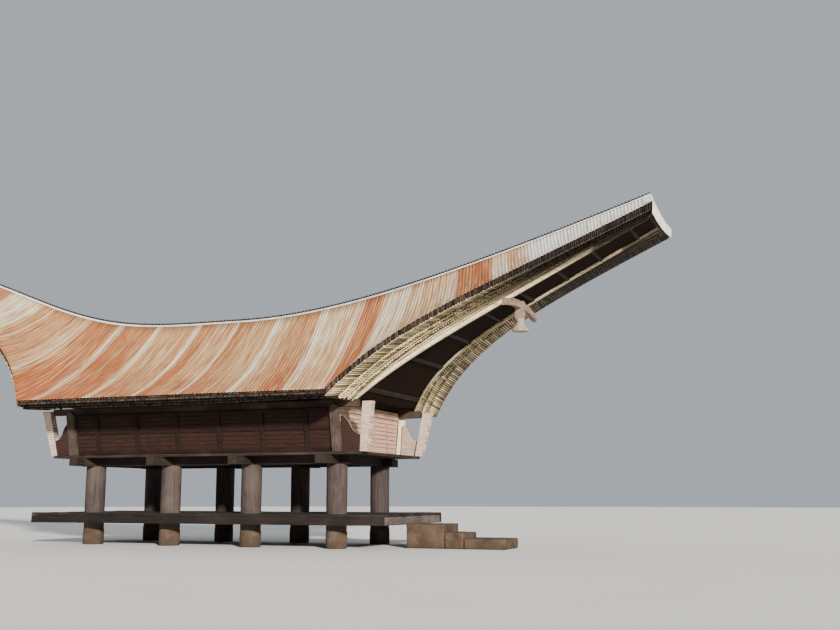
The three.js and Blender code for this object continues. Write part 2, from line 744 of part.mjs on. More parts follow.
// Arched beam notched up against both barge boards, with a carved knob at its middle
function prowBeam() {
  const depth = PROW_BEAM_THICKNESS;
  const half = PROW_BEAM_HALF_LENGTH;
  const edgeX = edgePlace(PROW_BEAM_SECTION);
  const [back] = prowPoint(PROW_BEAM_SECTION, 1, bargeHalfSpread(edgeX), 0);
  const seat = bargeFoot(edgeX) + PROW_BEAM_LAP;
  const low = seat - PROW_BEAM_DEPTH;
  const shape = new THREE.Shape();
  shape.moveTo(-half, low - PROW_BEAM_ARCH);
  shape.quadraticCurveTo(0, low + PROW_BEAM_ARCH, half, low - PROW_BEAM_ARCH);
  shape.lineTo(half, seat - PROW_BEAM_ARCH);
  shape.quadraticCurveTo(0, seat + PROW_BEAM_ARCH, -half, seat - PROW_BEAM_ARCH);
  shape.closePath();
  const arch = new THREE.ExtrudeGeometry(shape, { depth, bevelEnabled: false, curveSegments: 8 });
  arch.rotateX(Math.PI / 2).rotateZ(Math.PI / 2).translate(back, 0, 0);
  const knobBottom = seat - KNOB_DEPTH;
  const knob = boxBetween(
    [back - KNOB_PROUD, -KNOB_WIDTH / 2, knobBottom],
    [back + depth + KNOB_PROUD, KNOB_WIDTH / 2, seat],
  );
  const boards = [-1, 1].flatMap((side) => [-SEAT_GAP, SEAT_GAP].map((gap) => (
    reshape(bargeBoard(side), (p) => [p.x, p.y + gap, p.z - SEAT_GAP], false)
  )));
  const neighbours = [...boards, soffit().translate(0, 0, -SEAT_GAP)];
  return { geometry: cutFrom(joined([arch, knob]), neighbours), middle: back + depth / 2, knobBottom };
}

// The hanging cup, turned from one block and flared at its rim
function pendant(middle, top) {
  const profile = [
    [0, 0],
    [PENDANT_RIM, 0],
    [PENDANT_RIM, 40],
    [PENDANT_RIM * 0.7, 110],
    [PENDANT_NECK, 190],
    [PENDANT_NECK + 25, PENDANT_HEIGHT],
    [0, PENDANT_HEIGHT],
  ].map(([radius, z]) => new THREE.Vector2(radius, z));
  const turned = new THREE.LatheGeometry(profile, 12).rotateX(Math.PI / 2);
  const closed = asGeometry(asSolid(turned));
  return closed.translate(middle, 0, top - PENDANT_HEIGHT - SEAT_GAP);
}

function addProws() {
  const beam = prowBeam();
  const cup = pendant(beam.middle, beam.knobBottom);
  const lining = soffit();
  for (const [endName, end] of [['front', 1], ['rear', -1]]) {
    addPiece(`prow_beam_${endName}`, onQuarter(beam.geometry, end, 1), 'paleWood');
    addPiece(`prow_pendant_${endName}`, onQuarter(cup, end, 1), 'paleWood');
    addPiece(`soffit_${endName}`, onQuarter(lining, end, 1), 'darkWood');
    for (const [sideName, side] of [['right', -1], ['left', 1]]) {
      const board = end > 0 ? bargeBoard(side) : onQuarter(bargeBoard(side), -1, 1);
      addPiece(`barge_board_${endName}_${sideName}`, board, 'paleWood');
    }
  }
}

function addRoof() {
  for (const [sideName, side] of [['right', -1], ['left', 1]]) {
    addPiece(`bamboo_roof_${sideName}`, bambooSlope(side, 0), 'bamboo');
    addPiece(`iron_sheets_${sideName}`, sheetSlope(side), 'sheetIron');
  }
}

addColumns();
addPlatform();
addSteps();
addFloorBeams();
addWalls();
addCornerPieces();
addPlatesAndTies();
addPurlins();
addGables();
addRoof();
addProws();

export default house;
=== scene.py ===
# %% [markdown]
# # A tongkonan house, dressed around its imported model
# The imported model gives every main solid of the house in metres: X along the ridge, the front
# prow at +X, Y across, Z up. This lesson adds what the carpenter, the bamboo splitter and the
# roofer added: corrugated iron, rows of split bamboo, planks, battens, carving and worn finishes.

# %% Load the frame
import math
import random

import bmesh
import bpy
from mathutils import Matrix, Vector


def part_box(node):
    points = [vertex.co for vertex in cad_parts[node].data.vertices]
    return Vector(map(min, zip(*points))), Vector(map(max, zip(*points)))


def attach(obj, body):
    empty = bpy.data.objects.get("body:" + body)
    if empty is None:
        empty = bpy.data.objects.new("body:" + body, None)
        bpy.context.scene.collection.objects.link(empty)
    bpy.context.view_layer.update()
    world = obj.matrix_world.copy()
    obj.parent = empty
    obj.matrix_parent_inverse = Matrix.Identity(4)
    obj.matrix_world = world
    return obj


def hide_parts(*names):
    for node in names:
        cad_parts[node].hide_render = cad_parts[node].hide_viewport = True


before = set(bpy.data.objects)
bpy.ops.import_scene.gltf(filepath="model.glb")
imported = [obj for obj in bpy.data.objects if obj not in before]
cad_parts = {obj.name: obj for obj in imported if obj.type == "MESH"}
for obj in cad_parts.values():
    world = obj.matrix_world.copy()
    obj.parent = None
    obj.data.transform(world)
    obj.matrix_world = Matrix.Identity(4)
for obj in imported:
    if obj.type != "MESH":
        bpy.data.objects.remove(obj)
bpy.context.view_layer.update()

# %% [markdown]
# ## The roof's form as formulas
# The roof follows from a few curves: the sagging ridge, the edge that closes in along each prow
# and kicks up where the prow starts, and the barge boards, which do the same. Tracing them by
# hand would drift away from the solids, so the formulas behind the solids are repeated here.

# %% The curves of the roof
EAVE_END, RIDGE_TIP, EDGE_TIP = 3.9, 10.06, 10.29
RIDGE_LOW, RIDGE_SWEEP, RIDGE_BEND = 5.39, 1.765, 5.0
REAR_DIP, REAR_DIP_LENGTH = 0.29, 8.6


def past_eave(x):
    return max(0.0, abs(x) - EAVE_END)


def ridge_height(x):
    rear_share = min(1.0, max(0.0, -x / REAR_DIP_LENGTH))
    swept = RIDGE_LOW + RIDGE_SWEEP * (math.hypot(1, x / RIDGE_BEND) - 1)
    return swept - REAR_DIP * math.sin(math.pi * rear_share) ** 2


def closing(far, more, length):
    return lambda x: far + more * math.exp(-past_eave(x) / length)


def climbing(start, climb, kick, length):
    return lambda x: start + climb * past_eave(x) + kick * (1 - math.exp(-past_eave(x) / length))


edge_half_width, barge_half_spread = closing(1.15, 2.10, 2.3), closing(0.577, 1.206, 1.169)
edge_height, barge_foot = climbing(3.29, 0.43, 1.035, 1.09), climbing(3.1803, 0.489, 0.634, 0.902)
print("ridge runs from", round(ridge_height(0), 2), "to", round(ridge_height(RIDGE_TIP), 2), "m")

# %% Points on the slope and in a prow's section
STRETCH = (EDGE_TIP - EAVE_END) / (RIDGE_TIP - EAVE_END)
SLOPE_HOLLOW, RIDGE_HALF_GAP = 0.27, 0.00015


def edge_place(ridge_x):
    return math.copysign(min(abs(ridge_x), EAVE_END) + past_eave(ridge_x) * STRETCH, ridge_x)


def slope_point(ridge_x, side, inset, drop):
    edge_x, top = edge_place(ridge_x), ridge_height(ridge_x)
    half = edge_half_width(edge_x)
    share = max(0.0, 1 - inset / half)
    x, y = ridge_x + (edge_x - ridge_x) * share, side * max(RIDGE_HALF_GAP, half * share)
    return Vector((x, y, top + (edge_height(edge_x) - top) * share - drop))


def prow_point(ridge_x, side, y, z):
    edge_x = edge_place(ridge_x)
    return Vector((ridge_x + (edge_x - ridge_x) * y / edge_half_width(edge_x), side * y, z))


def top_point(ridge_x, side, share, drop=0.0):
    half = edge_half_width(edge_place(ridge_x))
    hollow = SLOPE_HOLLOW * half * share * (1 - share)
    return slope_point(ridge_x, side, half * (1 - share), drop + hollow)


print("halfway down, the slope hangs", round(SLOPE_HOLLOW * edge_half_width(0) / 4, 3), "m hollow")

# %% [markdown]
# ## One wrapper for every node tree
# A finish is a sum of many small masks, and writing each Math node by hand hides the idea. A
# class that wraps a socket lets the sum be written as Python: mask * 0.5 + (1 - wet). It serves
# materials and Geometry Nodes alike.

# %% Wires and trees
def operator(operation, swapped=False):
    def apply(wire, other):
        return wire.maths(operation, *((other, wire) if swapped else (wire, other)))
    return apply


class Wire:
    """One output socket; sums with it add Math nodes to its tree."""

    def __init__(self, tree, socket):
        self.tree, self.socket = tree, socket

    def out(self, name):
        return Wire(self.tree, self.socket.node.outputs[name])

    def maths(self, operation, *values):
        return self.tree.node("ShaderNodeMath", dict(enumerate(values)), operation=operation)

    __add__, __radd__ = operator("ADD"), operator("ADD", True)
    __sub__, __rsub__ = operator("SUBTRACT"), operator("SUBTRACT", True)
    __mul__, __truediv__ = operator("MULTIPLY"), operator("DIVIDE")

    def clamp(self):
        return self.maths("MAXIMUM", self.maths("MINIMUM", self, 1.0), 0.0)

    def positive(self):
        return self.maths("ABSOLUTE", self)

    def between(self, low, high):
        """A mask: 0 up to low, 1 from high on, smooth in between."""
        return self.tree.node("ShaderNodeMapRange", {
            "Value": self, "From Min": low, "From Max": high}, interpolation_type="SMOOTHSTEP")


class Tree:
    """A node tree with one way to add a node."""

    def __init__(self, tree):
        self.tree = tree

    def feed(self, socket, value):
        if isinstance(value, Wire):
            self.tree.links.new(value.socket, socket)
        elif value is not None:
            socket.default_value = value

    def node(self, kind, inputs=None, out=0, **settings):
        node = self.tree.nodes.new(kind)
        for key, value in settings.items():
            setattr(node, key, value)
        for key, value in (inputs or {}).items():
            self.feed(node.inputs[key], value)
        return Wire(self, node.outputs[out])


print("nodes are added through", Tree.node.__name__, "and summed through", Wire.__name__)

# %% [markdown]
# ## Colours and the common start of a finish
# Colours are easier to judge as on a paint card, so they are written as hex and turned into the
# linear values that the renderer wants. A finish then lays one coat of colour over another,
# each where its mask is high.

# %% Colour and finish helpers
def paint(code, share=1.0):
    channels = [int(code[i:i + 2], 16) / 255 for i in (0, 2, 4)]
    linear = [c / 12.92 if c <= 0.04045 else ((c + 0.055) / 1.055) ** 2.4 for c in channels]
    return [c * share for c in linear] + [1.0]


def grey(value):
    return (value, value, value, 1.0)


class Finish(Tree):
    """A material whose tree is built with expressions."""

    def __init__(self, name, shine=0.2):
        self.material = bpy.data.materials.new(name)
        self.material.use_nodes = True
        super().__init__(self.material.node_tree)
        self.shader = self.tree.nodes["Principled BSDF"]
        self.shader.inputs["Specular IOR Level"].default_value = shine
        self.place = self.node("ShaderNodeTexCoord", out="Object")

    def scaled(self, scale):
        return self.node("ShaderNodeMapping", {"Vector": self.place, "Scale": scale})

    def noise(self, scale, detail=4.0, stretch=(1, 1, 1), rough=0.55, distortion=0.0, place=None):
        return self.node("ShaderNodeTexNoise", {
            "Vector": place or self.scaled(stretch), "Scale": scale, "Detail": detail,
            "Roughness": rough, "Distortion": distortion})

    def axis(self, name):
        return self.node("ShaderNodeSeparateXYZ", {"Vector": self.place}, name)

    def attribute(self, name):
        return self.node("ShaderNodeAttribute", None, "Fac", attribute_name=name)

    def mix(self, mask, under, over, blend="MIX"):
        under, over = (paint(c) if isinstance(c, str) else c for c in (under, over))
        return self.node("ShaderNodeMix", {0: mask, 6: under, 7: over}, 2,
                         data_type="RGBA", blend_type=blend)

    def coat(self, mask, over, blend="MIX"):
        self.colour = self.mix(mask, self.colour, over, blend)

    def shade_by_tone(self, darkest):
        self.coat(1.0, self.mix(self.attribute("tone"), grey(1.0), grey(darkest)), "MULTIPLY")

    def bump(self, height, strength, distance):
        return self.node("ShaderNodeBump", {
            "Height": height, "Strength": strength, "Distance": distance})

    def done(self, roughness, normal=None, metallic=0.0):
        feeds = {"Base Color": self.colour, "Roughness": roughness, "Normal": normal,
                 "Metallic": metallic}
        for name, value in feeds.items():
            self.feed(self.shader.inputs[name], value)
        return self.material


print("paint card check", [round(c, 2) for c in paint("9a9094")])

# %% [markdown]
# ## Old wood
# Every board is bare hewn wood, greyed by rain. Boards under the roof and on the platform are
# coloured darker than their own wood as painted shade, and near a prow's tip a board darkens as
# painted shade. The grain is a noise stretched along the board, so each finish is made for one
# direction of run. Cracks are thin dark lines along the grain, and stains are large soft noise.

# %% A maker for wood finishes
GRAIN_STRETCH = 0.06
TIP_SHADE_BLUR = 0.15


def wood(name, light, dark, stain, run="X", cracks=0.5, tip_shade_from=None):
    finish = Finish(name)
    stretch = tuple(GRAIN_STRETCH if axis == run else 1.0 for axis in "XYZ")
    grain = finish.noise(34, 7.0, stretch, 0.62, 0.6)
    fibre = finish.noise(150, 3.0, stretch, 0.6)
    blotch = finish.noise(1.4, 5.0, rough=0.6)
    crack = finish.noise(22, 5.0, tuple(s * s for s in stretch), 0.7).between(0.6, 0.66)
    finish.colour = finish.mix(grain.between(0.32, 0.68), dark, light)
    finish.coat(blotch.between(0.45, 0.72) * 0.5, stain)
    finish.coat(crack * cracks, paint(dark, 0.25))
    finish.coat((fibre - 0.5).clamp() * 0.8, light)
    if tip_shade_from:
        # Towards a prow's tip the wood darkens to near black: painted shade
        out = finish.axis("X").positive() + (finish.noise(1.7, 2.0) - 0.5) * 2.2
        finish.coat(out.between(tip_shade_from - TIP_SHADE_BLUR, tip_shade_from + TIP_SHADE_BLUR) * 0.88, "2b211c")
    finish.shade_by_tone(0.62)
    normal = finish.bump(grain * 0.6 + fibre * 0.3 - crack * 1.2, 0.55, 0.006)
    return finish.done(0.82 + (grain - 0.5) * 0.12, normal)


print("wood grain is stretched", round(1 / GRAIN_STRETCH), "times along the run")

# %% The wood finishes of this house
# Each has its light, dark and stain colour, its direction of run and the strength of its cracks
# The column wood is coloured darker than its own grey as painted shade
column_wood = wood("column_wood", "4c423e", "322a28", "5f534c", "Z", 0.4)
# The deck and its side rails are coloured near black as painted shade
deck_wood = wood("deck_wood", "2d2722", "17120f", "3f3834", "X", 0.7)
shaded_rail_wood = wood("platform_edge_wood", "28211d", "140f0d", "382f2b", "X", 0.6)
edge_wood_y = wood("platform_end_wood", "5f5450", "3a322e", "736864", "Y", 0.6)
# Beams are coloured near black as painted shade
shaded_beam_wood_x = wood("beam_wood_long", "332924", "19120f", "463932")
shaded_beam_wood_y = wood("beam_wood_cross", "332924", "19120f", "463932", "Y")
pale_wood_x = wood("pale_wood_long", "f4e5bf", "b99f74", "faf0d2", "X", 0.8, tip_shade_from=9.1)
# The wall plates are coloured dark as painted shade
shaded_plate_wood = wood("wall_plate_wood", "3d2e26", "211712", "5a483d")
pale_wood_y = wood("pale_wood_cross", "96816f", "5d493d", "b09c8a", "Y")
pendant_wood = wood("pendant_wood", "b9a795", "7d6a5b", "d2c2b1", "Z", 0.4)
# Corner boards: a dark copy as painted shade, and a cream copy of the same wood for the far front
# board as painted sunlight
shaded_corner_wood = wood("pale_wood_upright", "4e423b", "30261f", "655850", "Z")
sunlit_corner_wood = wood("cream_wood_upright", "efe5cc", "c8b696", "f8f0da", "Z", 0.4)
dark_wood_x = wood("dark_wood_long", "2a201a", "120c0a", "382b23")
dark_wood_y = wood("dark_wood_cross", "2a1f18", "120c0a", "382a21", "Y")
# End wall frames: a pale copy of the frame wood as painted sunlight
end_frame_wood = wood("end_frame_wood", "c09c88", "86624f", "dabfab", "Y")
# Side wall frames: near black as painted shade
shaded_frame_wood = wood("red_brown_wood", "24150f", "120a07", "35221a")
print("made", len([m for m in bpy.data.materials if "wood" in m.name]), "wood finishes")

# %% [markdown]
# ## Stone
# The steps and the column feet are roughly squared river stone. Large soft blotches, small pits
# and a darker foot where the wet ground reaches make it read as stone. All its colours are set
# darker than the stone's own as painted shade.

# %% Stone finish
def stone_finish():
    finish = Finish("step_stone")
    blotch = finish.noise(3.2, 6.0)
    pits = finish.noise(46, rough=0.7)
    veins = finish.node("ShaderNodeTexVoronoi", {
        "Vector": finish.scaled((1, 1, 1)), "Scale": 7.0}, feature="DISTANCE_TO_EDGE")
    wet = 1 - finish.axis("Z").between(0.0, 0.16)
    # The stone's colours are set darker than its own as painted shade
    finish.colour = finish.mix(blotch.between(0.35, 0.65), "40342a", "58483b")
    finish.coat(pits.between(0.56, 0.7) * 0.6, "31271f")
    finish.coat((1 - veins.between(0.0, 0.03)) * 0.35, "3c3027")
    finish.coat(wet * 0.5, "3a3026")
    return finish.done(0.92, finish.bump(blotch * 0.8 + pits * 0.35, 0.7, 0.02))


step_stone = stone_finish()
print("stone finish with", len(step_stone.node_tree.nodes), "nodes")

# %% [markdown]
# ## Bamboo
# The roof under the iron is split bamboo in rows, tan where the sun has bleached it. The top
# row of each rim and the rows under the eaves are nearly black, partly from soot and mould and
# partly as painted shade; all rows far out along a prow darken to near black as painted shade.
# Each tube has a value called tone from Geometry Nodes, so that no two neighbours have the same
# colour.

# %% A maker for bamboo finishes
def bamboo(name, light, dark, spread):
    finish = Finish(name)
    tone = finish.attribute("tone")
    tip_shade = finish.axis("X").positive().between(5.6, 8.0)
    streak = finish.noise(60, 4.0, (1.0, 0.15, 0.15), 0.6)
    blotch = finish.noise(2.2)
    node_line = finish.noise(16, 2.0, (0.2, 1.0, 1.0)).between(0.60, 0.64)
    finish.colour = finish.mix((tone * spread + (streak - 0.5) * 0.7).clamp(), light, dark)
    finish.coat(blotch.between(0.5, 0.75) * 0.45, dark)
    finish.coat(node_line * 0.35, paint(dark, 0.4))
    # Rows far out along a prow darken to near black: painted shade
    finish.coat(tip_shade * 0.93, finish.mix(tone, "2a211d", "0e0a09"))
    normal = finish.bump(streak * 0.6 + node_line * 0.5, 0.5, 0.004)
    return finish.done(0.78 - tone * 0.12, normal)


tan_bamboo = bamboo("tan_bamboo", "e4cf9f", "5a4730", 0.95)
# Near black partly from soot and mould and partly as painted shade
sooty_bamboo = bamboo("sooty_bamboo", "54453a", "080605", 1.15)
# The bamboo bed is coloured near black as painted shade
inner_bamboo = bamboo("inner_bamboo", "2b211a", "110c09", 0.7)
print("bamboo finishes made")

# %% [markdown]
# ## Corrugated iron with rust
# Old zinc turns cream, then pink, then orange, a whole sheet at a time. So the rust is a ramp
# along the ridge, broken by streaks that run down the slope. The troughs hold the dirt: the
# wave that shaped them is an attribute, and the finish reads it.

# %% Where the rust is, along the ridge
# Each strip: where it starts, in metres along the ridge, and how rusty it is
RUST_STRIPS = [
    (-10.5, 0.10), (-9.3, 0.35), (-8.2, 0.70), (-7.1, 0.20), (-6.0, 0.62), (-4.9, 0.40),
    (-4.4, 0.74), (-3.6, 0.08), (-3.48, 0.70), (-2.42, 0.05), (-2.3, 0.50), (-1.24, 0.05),
    (-1.12, 0.72), (-0.75, 0.46), (-0.02, 0.58), (0.45, 0.44), (1.03, 0.02), (1.15, 0.40),
    (1.65, 0.62), (2.24, 0.04), (2.38, 0.30), (3.18, 0.04), (3.29, 0.76), (3.87, 0.16),
    (4.55, 0.34), (5.62, 0.72), (6.42, 0.22), (6.8, 0.36), (7.35, 0.0),
]
RIDGE_SPAN, STRIP_BLUR = 2 * 10.5, 0.03
# One ramp holds 32 stops at most, so two take turns
RAMP_STOPS = 31


def share_along(place):
    return place / RIDGE_SPAN + 0.5


def strip_ramp(finish, place, stops):
    wire = finish.node("ShaderNodeValToRGB", {"Fac": place})
    elements = wire.socket.node.color_ramp.elements
    elements.remove(elements[-1])
    elements[0].position, elements[0].color = stops[0][0], grey(stops[0][1])
    for start, amount in stops[1:]:
        elements.new(start).color = grey(amount)
    return wire


def rust_band(finish, place):
    stops = [(share_along(RUST_STRIPS[0][0] + STRIP_BLUR), RUST_STRIPS[0][1])]
    for start, amount in RUST_STRIPS[1:]:
        stops.append((share_along(start - STRIP_BLUR), stops[-1][1]))
        stops.append((share_along(start + STRIP_BLUR), amount))
    early, late = stops[:RAMP_STOPS], stops[RAMP_STOPS - 1:]
    switch = place.maths("GREATER_THAN", place, late[0][0])
    early, late = (strip_ramp(finish, place, part) for part in (early, late))
    return early * (1 - switch) + late * switch


print("rust has", len(RUST_STRIPS), "strips")

# %% Rusted iron
def iron_finish():
    finish = Finish("rusted_iron")
    along, down = finish.attribute("along"), finish.axis("Y")
    lines = finish.node("ShaderNodeCombineXYZ", {0: along, 1: down * 0.028})
    wobble = (finish.noise(3.0, 3.0, place=lines) - 0.5) * 0.006
    band = rust_band(finish, share_along(along) + wobble)
    streak = finish.noise(14, 5.0, rough=0.65, place=lines)
    fine = finish.noise(60, rough=0.6, place=lines)
    cloud = finish.noise(1.6, 5.0, (1, 0.6, 0.6))
    trough = 1 - finish.attribute("crest")
    amount = band + 0.04 + down.positive().between(1.3, 3.2) * 0.14
    amount = amount + (streak - 0.5) * 1.4 + (fine - 0.5) * 1.6 + (cloud - 0.5) * 0.3
    rust = (amount + trough * 0.08).between(0.38, 0.95)
    white = (along + (streak - 0.5) * 0.8).between(7.0, 7.5)
    finish.colour = finish.mix(white, "f0e6cc", "f6f4ee")
    finish.coat(amount.between(0.02, 0.42) * (1 - white * 0.75), "cda572")
    finish.coat(rust, finish.mix(fine.between(0.35, 0.7), "bb6a3e", "8a4a2b"))
    finish.coat(finish.attribute("lap") * 0.7, "efe6d2")
    finish.coat(finish.noise(34, 2.0, place=lines).between(0.56, 0.66) * 0.65, "7d5437")
    finish.coat(trough * 0.5, "5a4130")
    normal = finish.bump(fine * 0.5 + rust * 0.4, 0.3, 0.003)
    return finish.done(0.48 + rust * 0.38, normal, 0.15)


rusted_iron = iron_finish()
print("rusted iron with", len(rusted_iron.node_tree.nodes), "nodes")

# %% Plain zinc for the capping and the tips, and the ridge roll's near-black painted shade
def zinc_finish(name, light, dark):
    finish = Finish(name)
    cloud = finish.noise(5, 5.0)
    scratch = finish.noise(70, 3.0, (1.0, 0.2, 0.2))
    finish.colour = finish.mix(cloud.between(0.35, 0.7), light, dark)
    normal = finish.bump(cloud * 0.5 + scratch * 0.2, 0.3, 0.004)
    return finish.done(0.42 + cloud * 0.2, normal, 0.1)


white_zinc = zinc_finish("white_zinc", "f0eee6", "d2cdc2")
ridge_iron = zinc_finish("ridge_iron", "2e2620", "17120f")
print("ridge and tip finishes made")

# %% [markdown]
# ## Carved and painted boards
# The walls are boards cut with ornament, and most of the paint has gone. So the finish is
# red-brown wood with dark grooves and pale, worn high spots. The side walls are coloured near
# black as painted shade, and the end walls take a pale copy of the same wood as painted sunlight.
# A wing has a dark field of painted shade inside a pale rim, darkest on its outer face; the
# field leans with the wall, so its limits shift with the height.

# %% Carved wood finish
PANEL_FOOT, PANEL_FLARE, WALL_LEAN = 2.08, 0.125, 0.168


def carved_finish(name, plane, field, groove, high, wing_shade_colour=None):
    finish = Finish(name)
    grain = finish.noise(40, 5.0, (0.12, 1, 1), 0.6)
    dots = finish.node("ShaderNodeTexVoronoi", {
        "Vector": finish.scaled(plane), "Scale": 19.0, "Randomness": 0.15}, feature="F1")
    cut = 1 - (dots - 0.26).positive().between(0.03, 0.09)
    height = finish.axis("Z")
    finish.colour = finish.mix(grain.between(0.3, 0.7), field, high)
    finish.coat(finish.noise(3.4, 6.0, rough=0.62).between(0.5, 0.72) * 0.35, high)
    # A wing's dark field is painted shade, darkest on its outer face
    if wing_shade_colour:
        out = finish.axis("X").positive() - (height - PANEL_FOOT) * PANEL_FLARE
        across = finish.axis("Y").positive() - (height - PANEL_FOOT) * WALL_LEAN
        outer_face_shade = across.between(1.665, 1.685) * 0.75 + 0.25
        finish.coat(out.between(3.985, 3.975) * outer_face_shade, wing_shade_colour)
    else:
        row = height * 10.6
        row = (row.maths("FRACT", row) - 0.5).positive()
        cut = cut.maths("MAXIMUM", cut * 0.8, row.between(0.40, 0.47))
    finish.coat(cut * 0.75, groove)
    finish.shade_by_tone(0.6)
    return finish.done(0.8, finish.bump(grain * 0.25 - cut * 0.9, 0.8, 0.008))


SIDE_PLANE, END_PLANE = (1, 0, 1), (0, 1, 1)
# Side walls: near black as painted shade
shaded_carved_side = carved_finish("carved_side_wood", SIDE_PLANE, "22130f", "0b0605", "382119")
# End walls: a pale copy of the side walls' wood as painted sunlight
sunlit_carved_end = carved_finish("carved_end_wood", END_PLANE, "b78d76", "7a5241", "dbbca6")
# The wing's dark field colour is painted shade
carved_wing = carved_finish("carved_wing_wood", SIDE_PLANE, "b39a88", "604539", "d6c1af", "2a1b17")
print("carved finishes made")

# %% [markdown]
# ## Woven bamboo mats
# The flat lining under each prow is a mat of split bamboo. A weave is two sets of strips that
# take turns on top, which a checker pattern with stretched noise gives.

# %% Woven mat finish
def mat_finish():
    finish = Finish("woven_mat", shine=0.05)
    checker = finish.node("ShaderNodeTexChecker", {
        "Vector": finish.scaled((1, 1, 0)), "Scale": 22.0, "Color1": grey(1), "Color2": grey(0)})
    strip = finish.noise(70, 3.0, (0.2, 1, 1))
    # The mat's near-black colours are painted shade
    finish.colour = finish.mix(checker, "1c110a", "25180e")
    finish.coat(strip.between(0.4, 0.7) * 0.5, "17100c")
    finish.coat(finish.noise(1.1, 5.0).between(0.42, 0.7) * 0.6, "120c09")
    return finish.done(0.9, finish.bump(checker.out("Fac") * 0.6 + strip * 0.4, 0.5, 0.005))


woven_mat = mat_finish()
print("mat finish made")

# %% [markdown]
# ## Meshes from sections and boards
# Most pieces are a run of sections joined by faces, such as a barge board that follows the
# prow, or straight hewn boards. A heap collects many of them into one piece and remembers a
# tone for each, so that neighbouring boards differ.

# %% A heap of boards and skins
class Heap:
    """Corners, faces and tones of a piece made of many closed parts."""

    def __init__(self):
        self.corners, self.faces, self.tones = [], [], []

    def add(self, corners, faces, tone=0.3):
        start = len(self.corners)
        self.corners += [tuple(corner) for corner in corners]
        self.faces += [[start + i for i in face] for face in faces]
        self.tones += [tone] * len(corners)

    def skin(self, sections, tone=0.3):
        count = len(sections[0])
        corners = [corner for section in sections for corner in section]
        faces = [list(range(count)), [len(corners) - count + i for i in range(count)]]
        for i in range(len(sections) - 1):
            for j in range(count):
                a, b = i * count + j, i * count + (j + 1) % count
                faces.append([a, b, b + count, a + count])
        self.add(corners, faces, tone)


print("heap ready")

# %% Hewn boards with chamfered edges
dice = random.Random(11)
CHAMFER = 0.008
STATION = 0.45


def board(heap, low, high, tone=None, wobble=0.004, shape=None, chamfer=CHAMFER):
    low, high = Vector(low), Vector(high)
    size = high - low
    run = max(range(3), key=lambda axis: size[axis])
    a, b = [axis for axis in range(3) if axis != run]
    edge = min(chamfer, size[a] / 3, size[b] / 3)
    outline = [(edge, 0), (size[a] - edge, 0), (size[a], edge), (size[a], size[b] - edge),
               (size[a] - edge, size[b]), (edge, size[b]), (0, size[b] - edge), (0, edge)]
    steps = max(1, round(size[run] / STATION))
    sections = []
    for i in range(steps + 1):
        shift = [dice.uniform(-wobble, wobble) for _ in range(2)]
        section = []
        for p, q in outline:
            point = low.copy()
            point[run] += size[run] * i / steps
            point[a] += p + shift[0]
            point[b] += q + shift[1]
            section.append(shape(point) if shape else point)
        sections.append(section)
    heap.skin(sections, dice.random() if tone is None else tone)


print("a board has a chamfer of", CHAMFER * 1000, "mm")

# %% Turn a heap into a finished piece
def put(name, data):
    thing = bpy.data.objects.new(name, data)
    bpy.context.collection.objects.link(thing)
    return thing


def settle(piece, replaced=()):
    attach(piece, "root")
    if replaced:
        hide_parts(*replaced)
    print(piece.name, len(piece.data.polygons), "faces")


def set_values(mesh, name, values, kind="FLOAT", field="value"):
    mesh.attributes.new(name, kind, "POINT").data.foreach_set(field, values)


def close_up(name, work, mesh, material, replaced, smooth):
    bmesh.ops.recalc_face_normals(work, faces=work.faces)
    work.to_mesh(mesh)
    work.free()
    mesh.materials.append(material)
    mesh.polygons.foreach_set("use_smooth", [smooth] * len(mesh.polygons))
    settle(put(name, mesh), replaced)


def make_piece(name, heap, material, replaced=(), smooth=False):
    mesh = bpy.data.meshes.new(name)
    mesh.from_pydata(heap.corners, [], heap.faces)
    set_values(mesh, "tone", heap.tones)
    work = bmesh.new()
    work.from_mesh(mesh)
    close_up(name, work, mesh, material, replaced, smooth)


print("pieces ride on the root body")

# %% [markdown]
# ## Geometry Nodes helpers
# Tubes and waves repeat hundreds of times along a path or a strip. A carrier mesh says at each
# corner which way they go; a node tree builds on it with fixed seeds, and the result is kept as
# a plain mesh.

# %% A geometry tree with named inputs
SOCKETS = {"Geometry": "NodeSocketGeometry", "Material": "NodeSocketMaterial"}


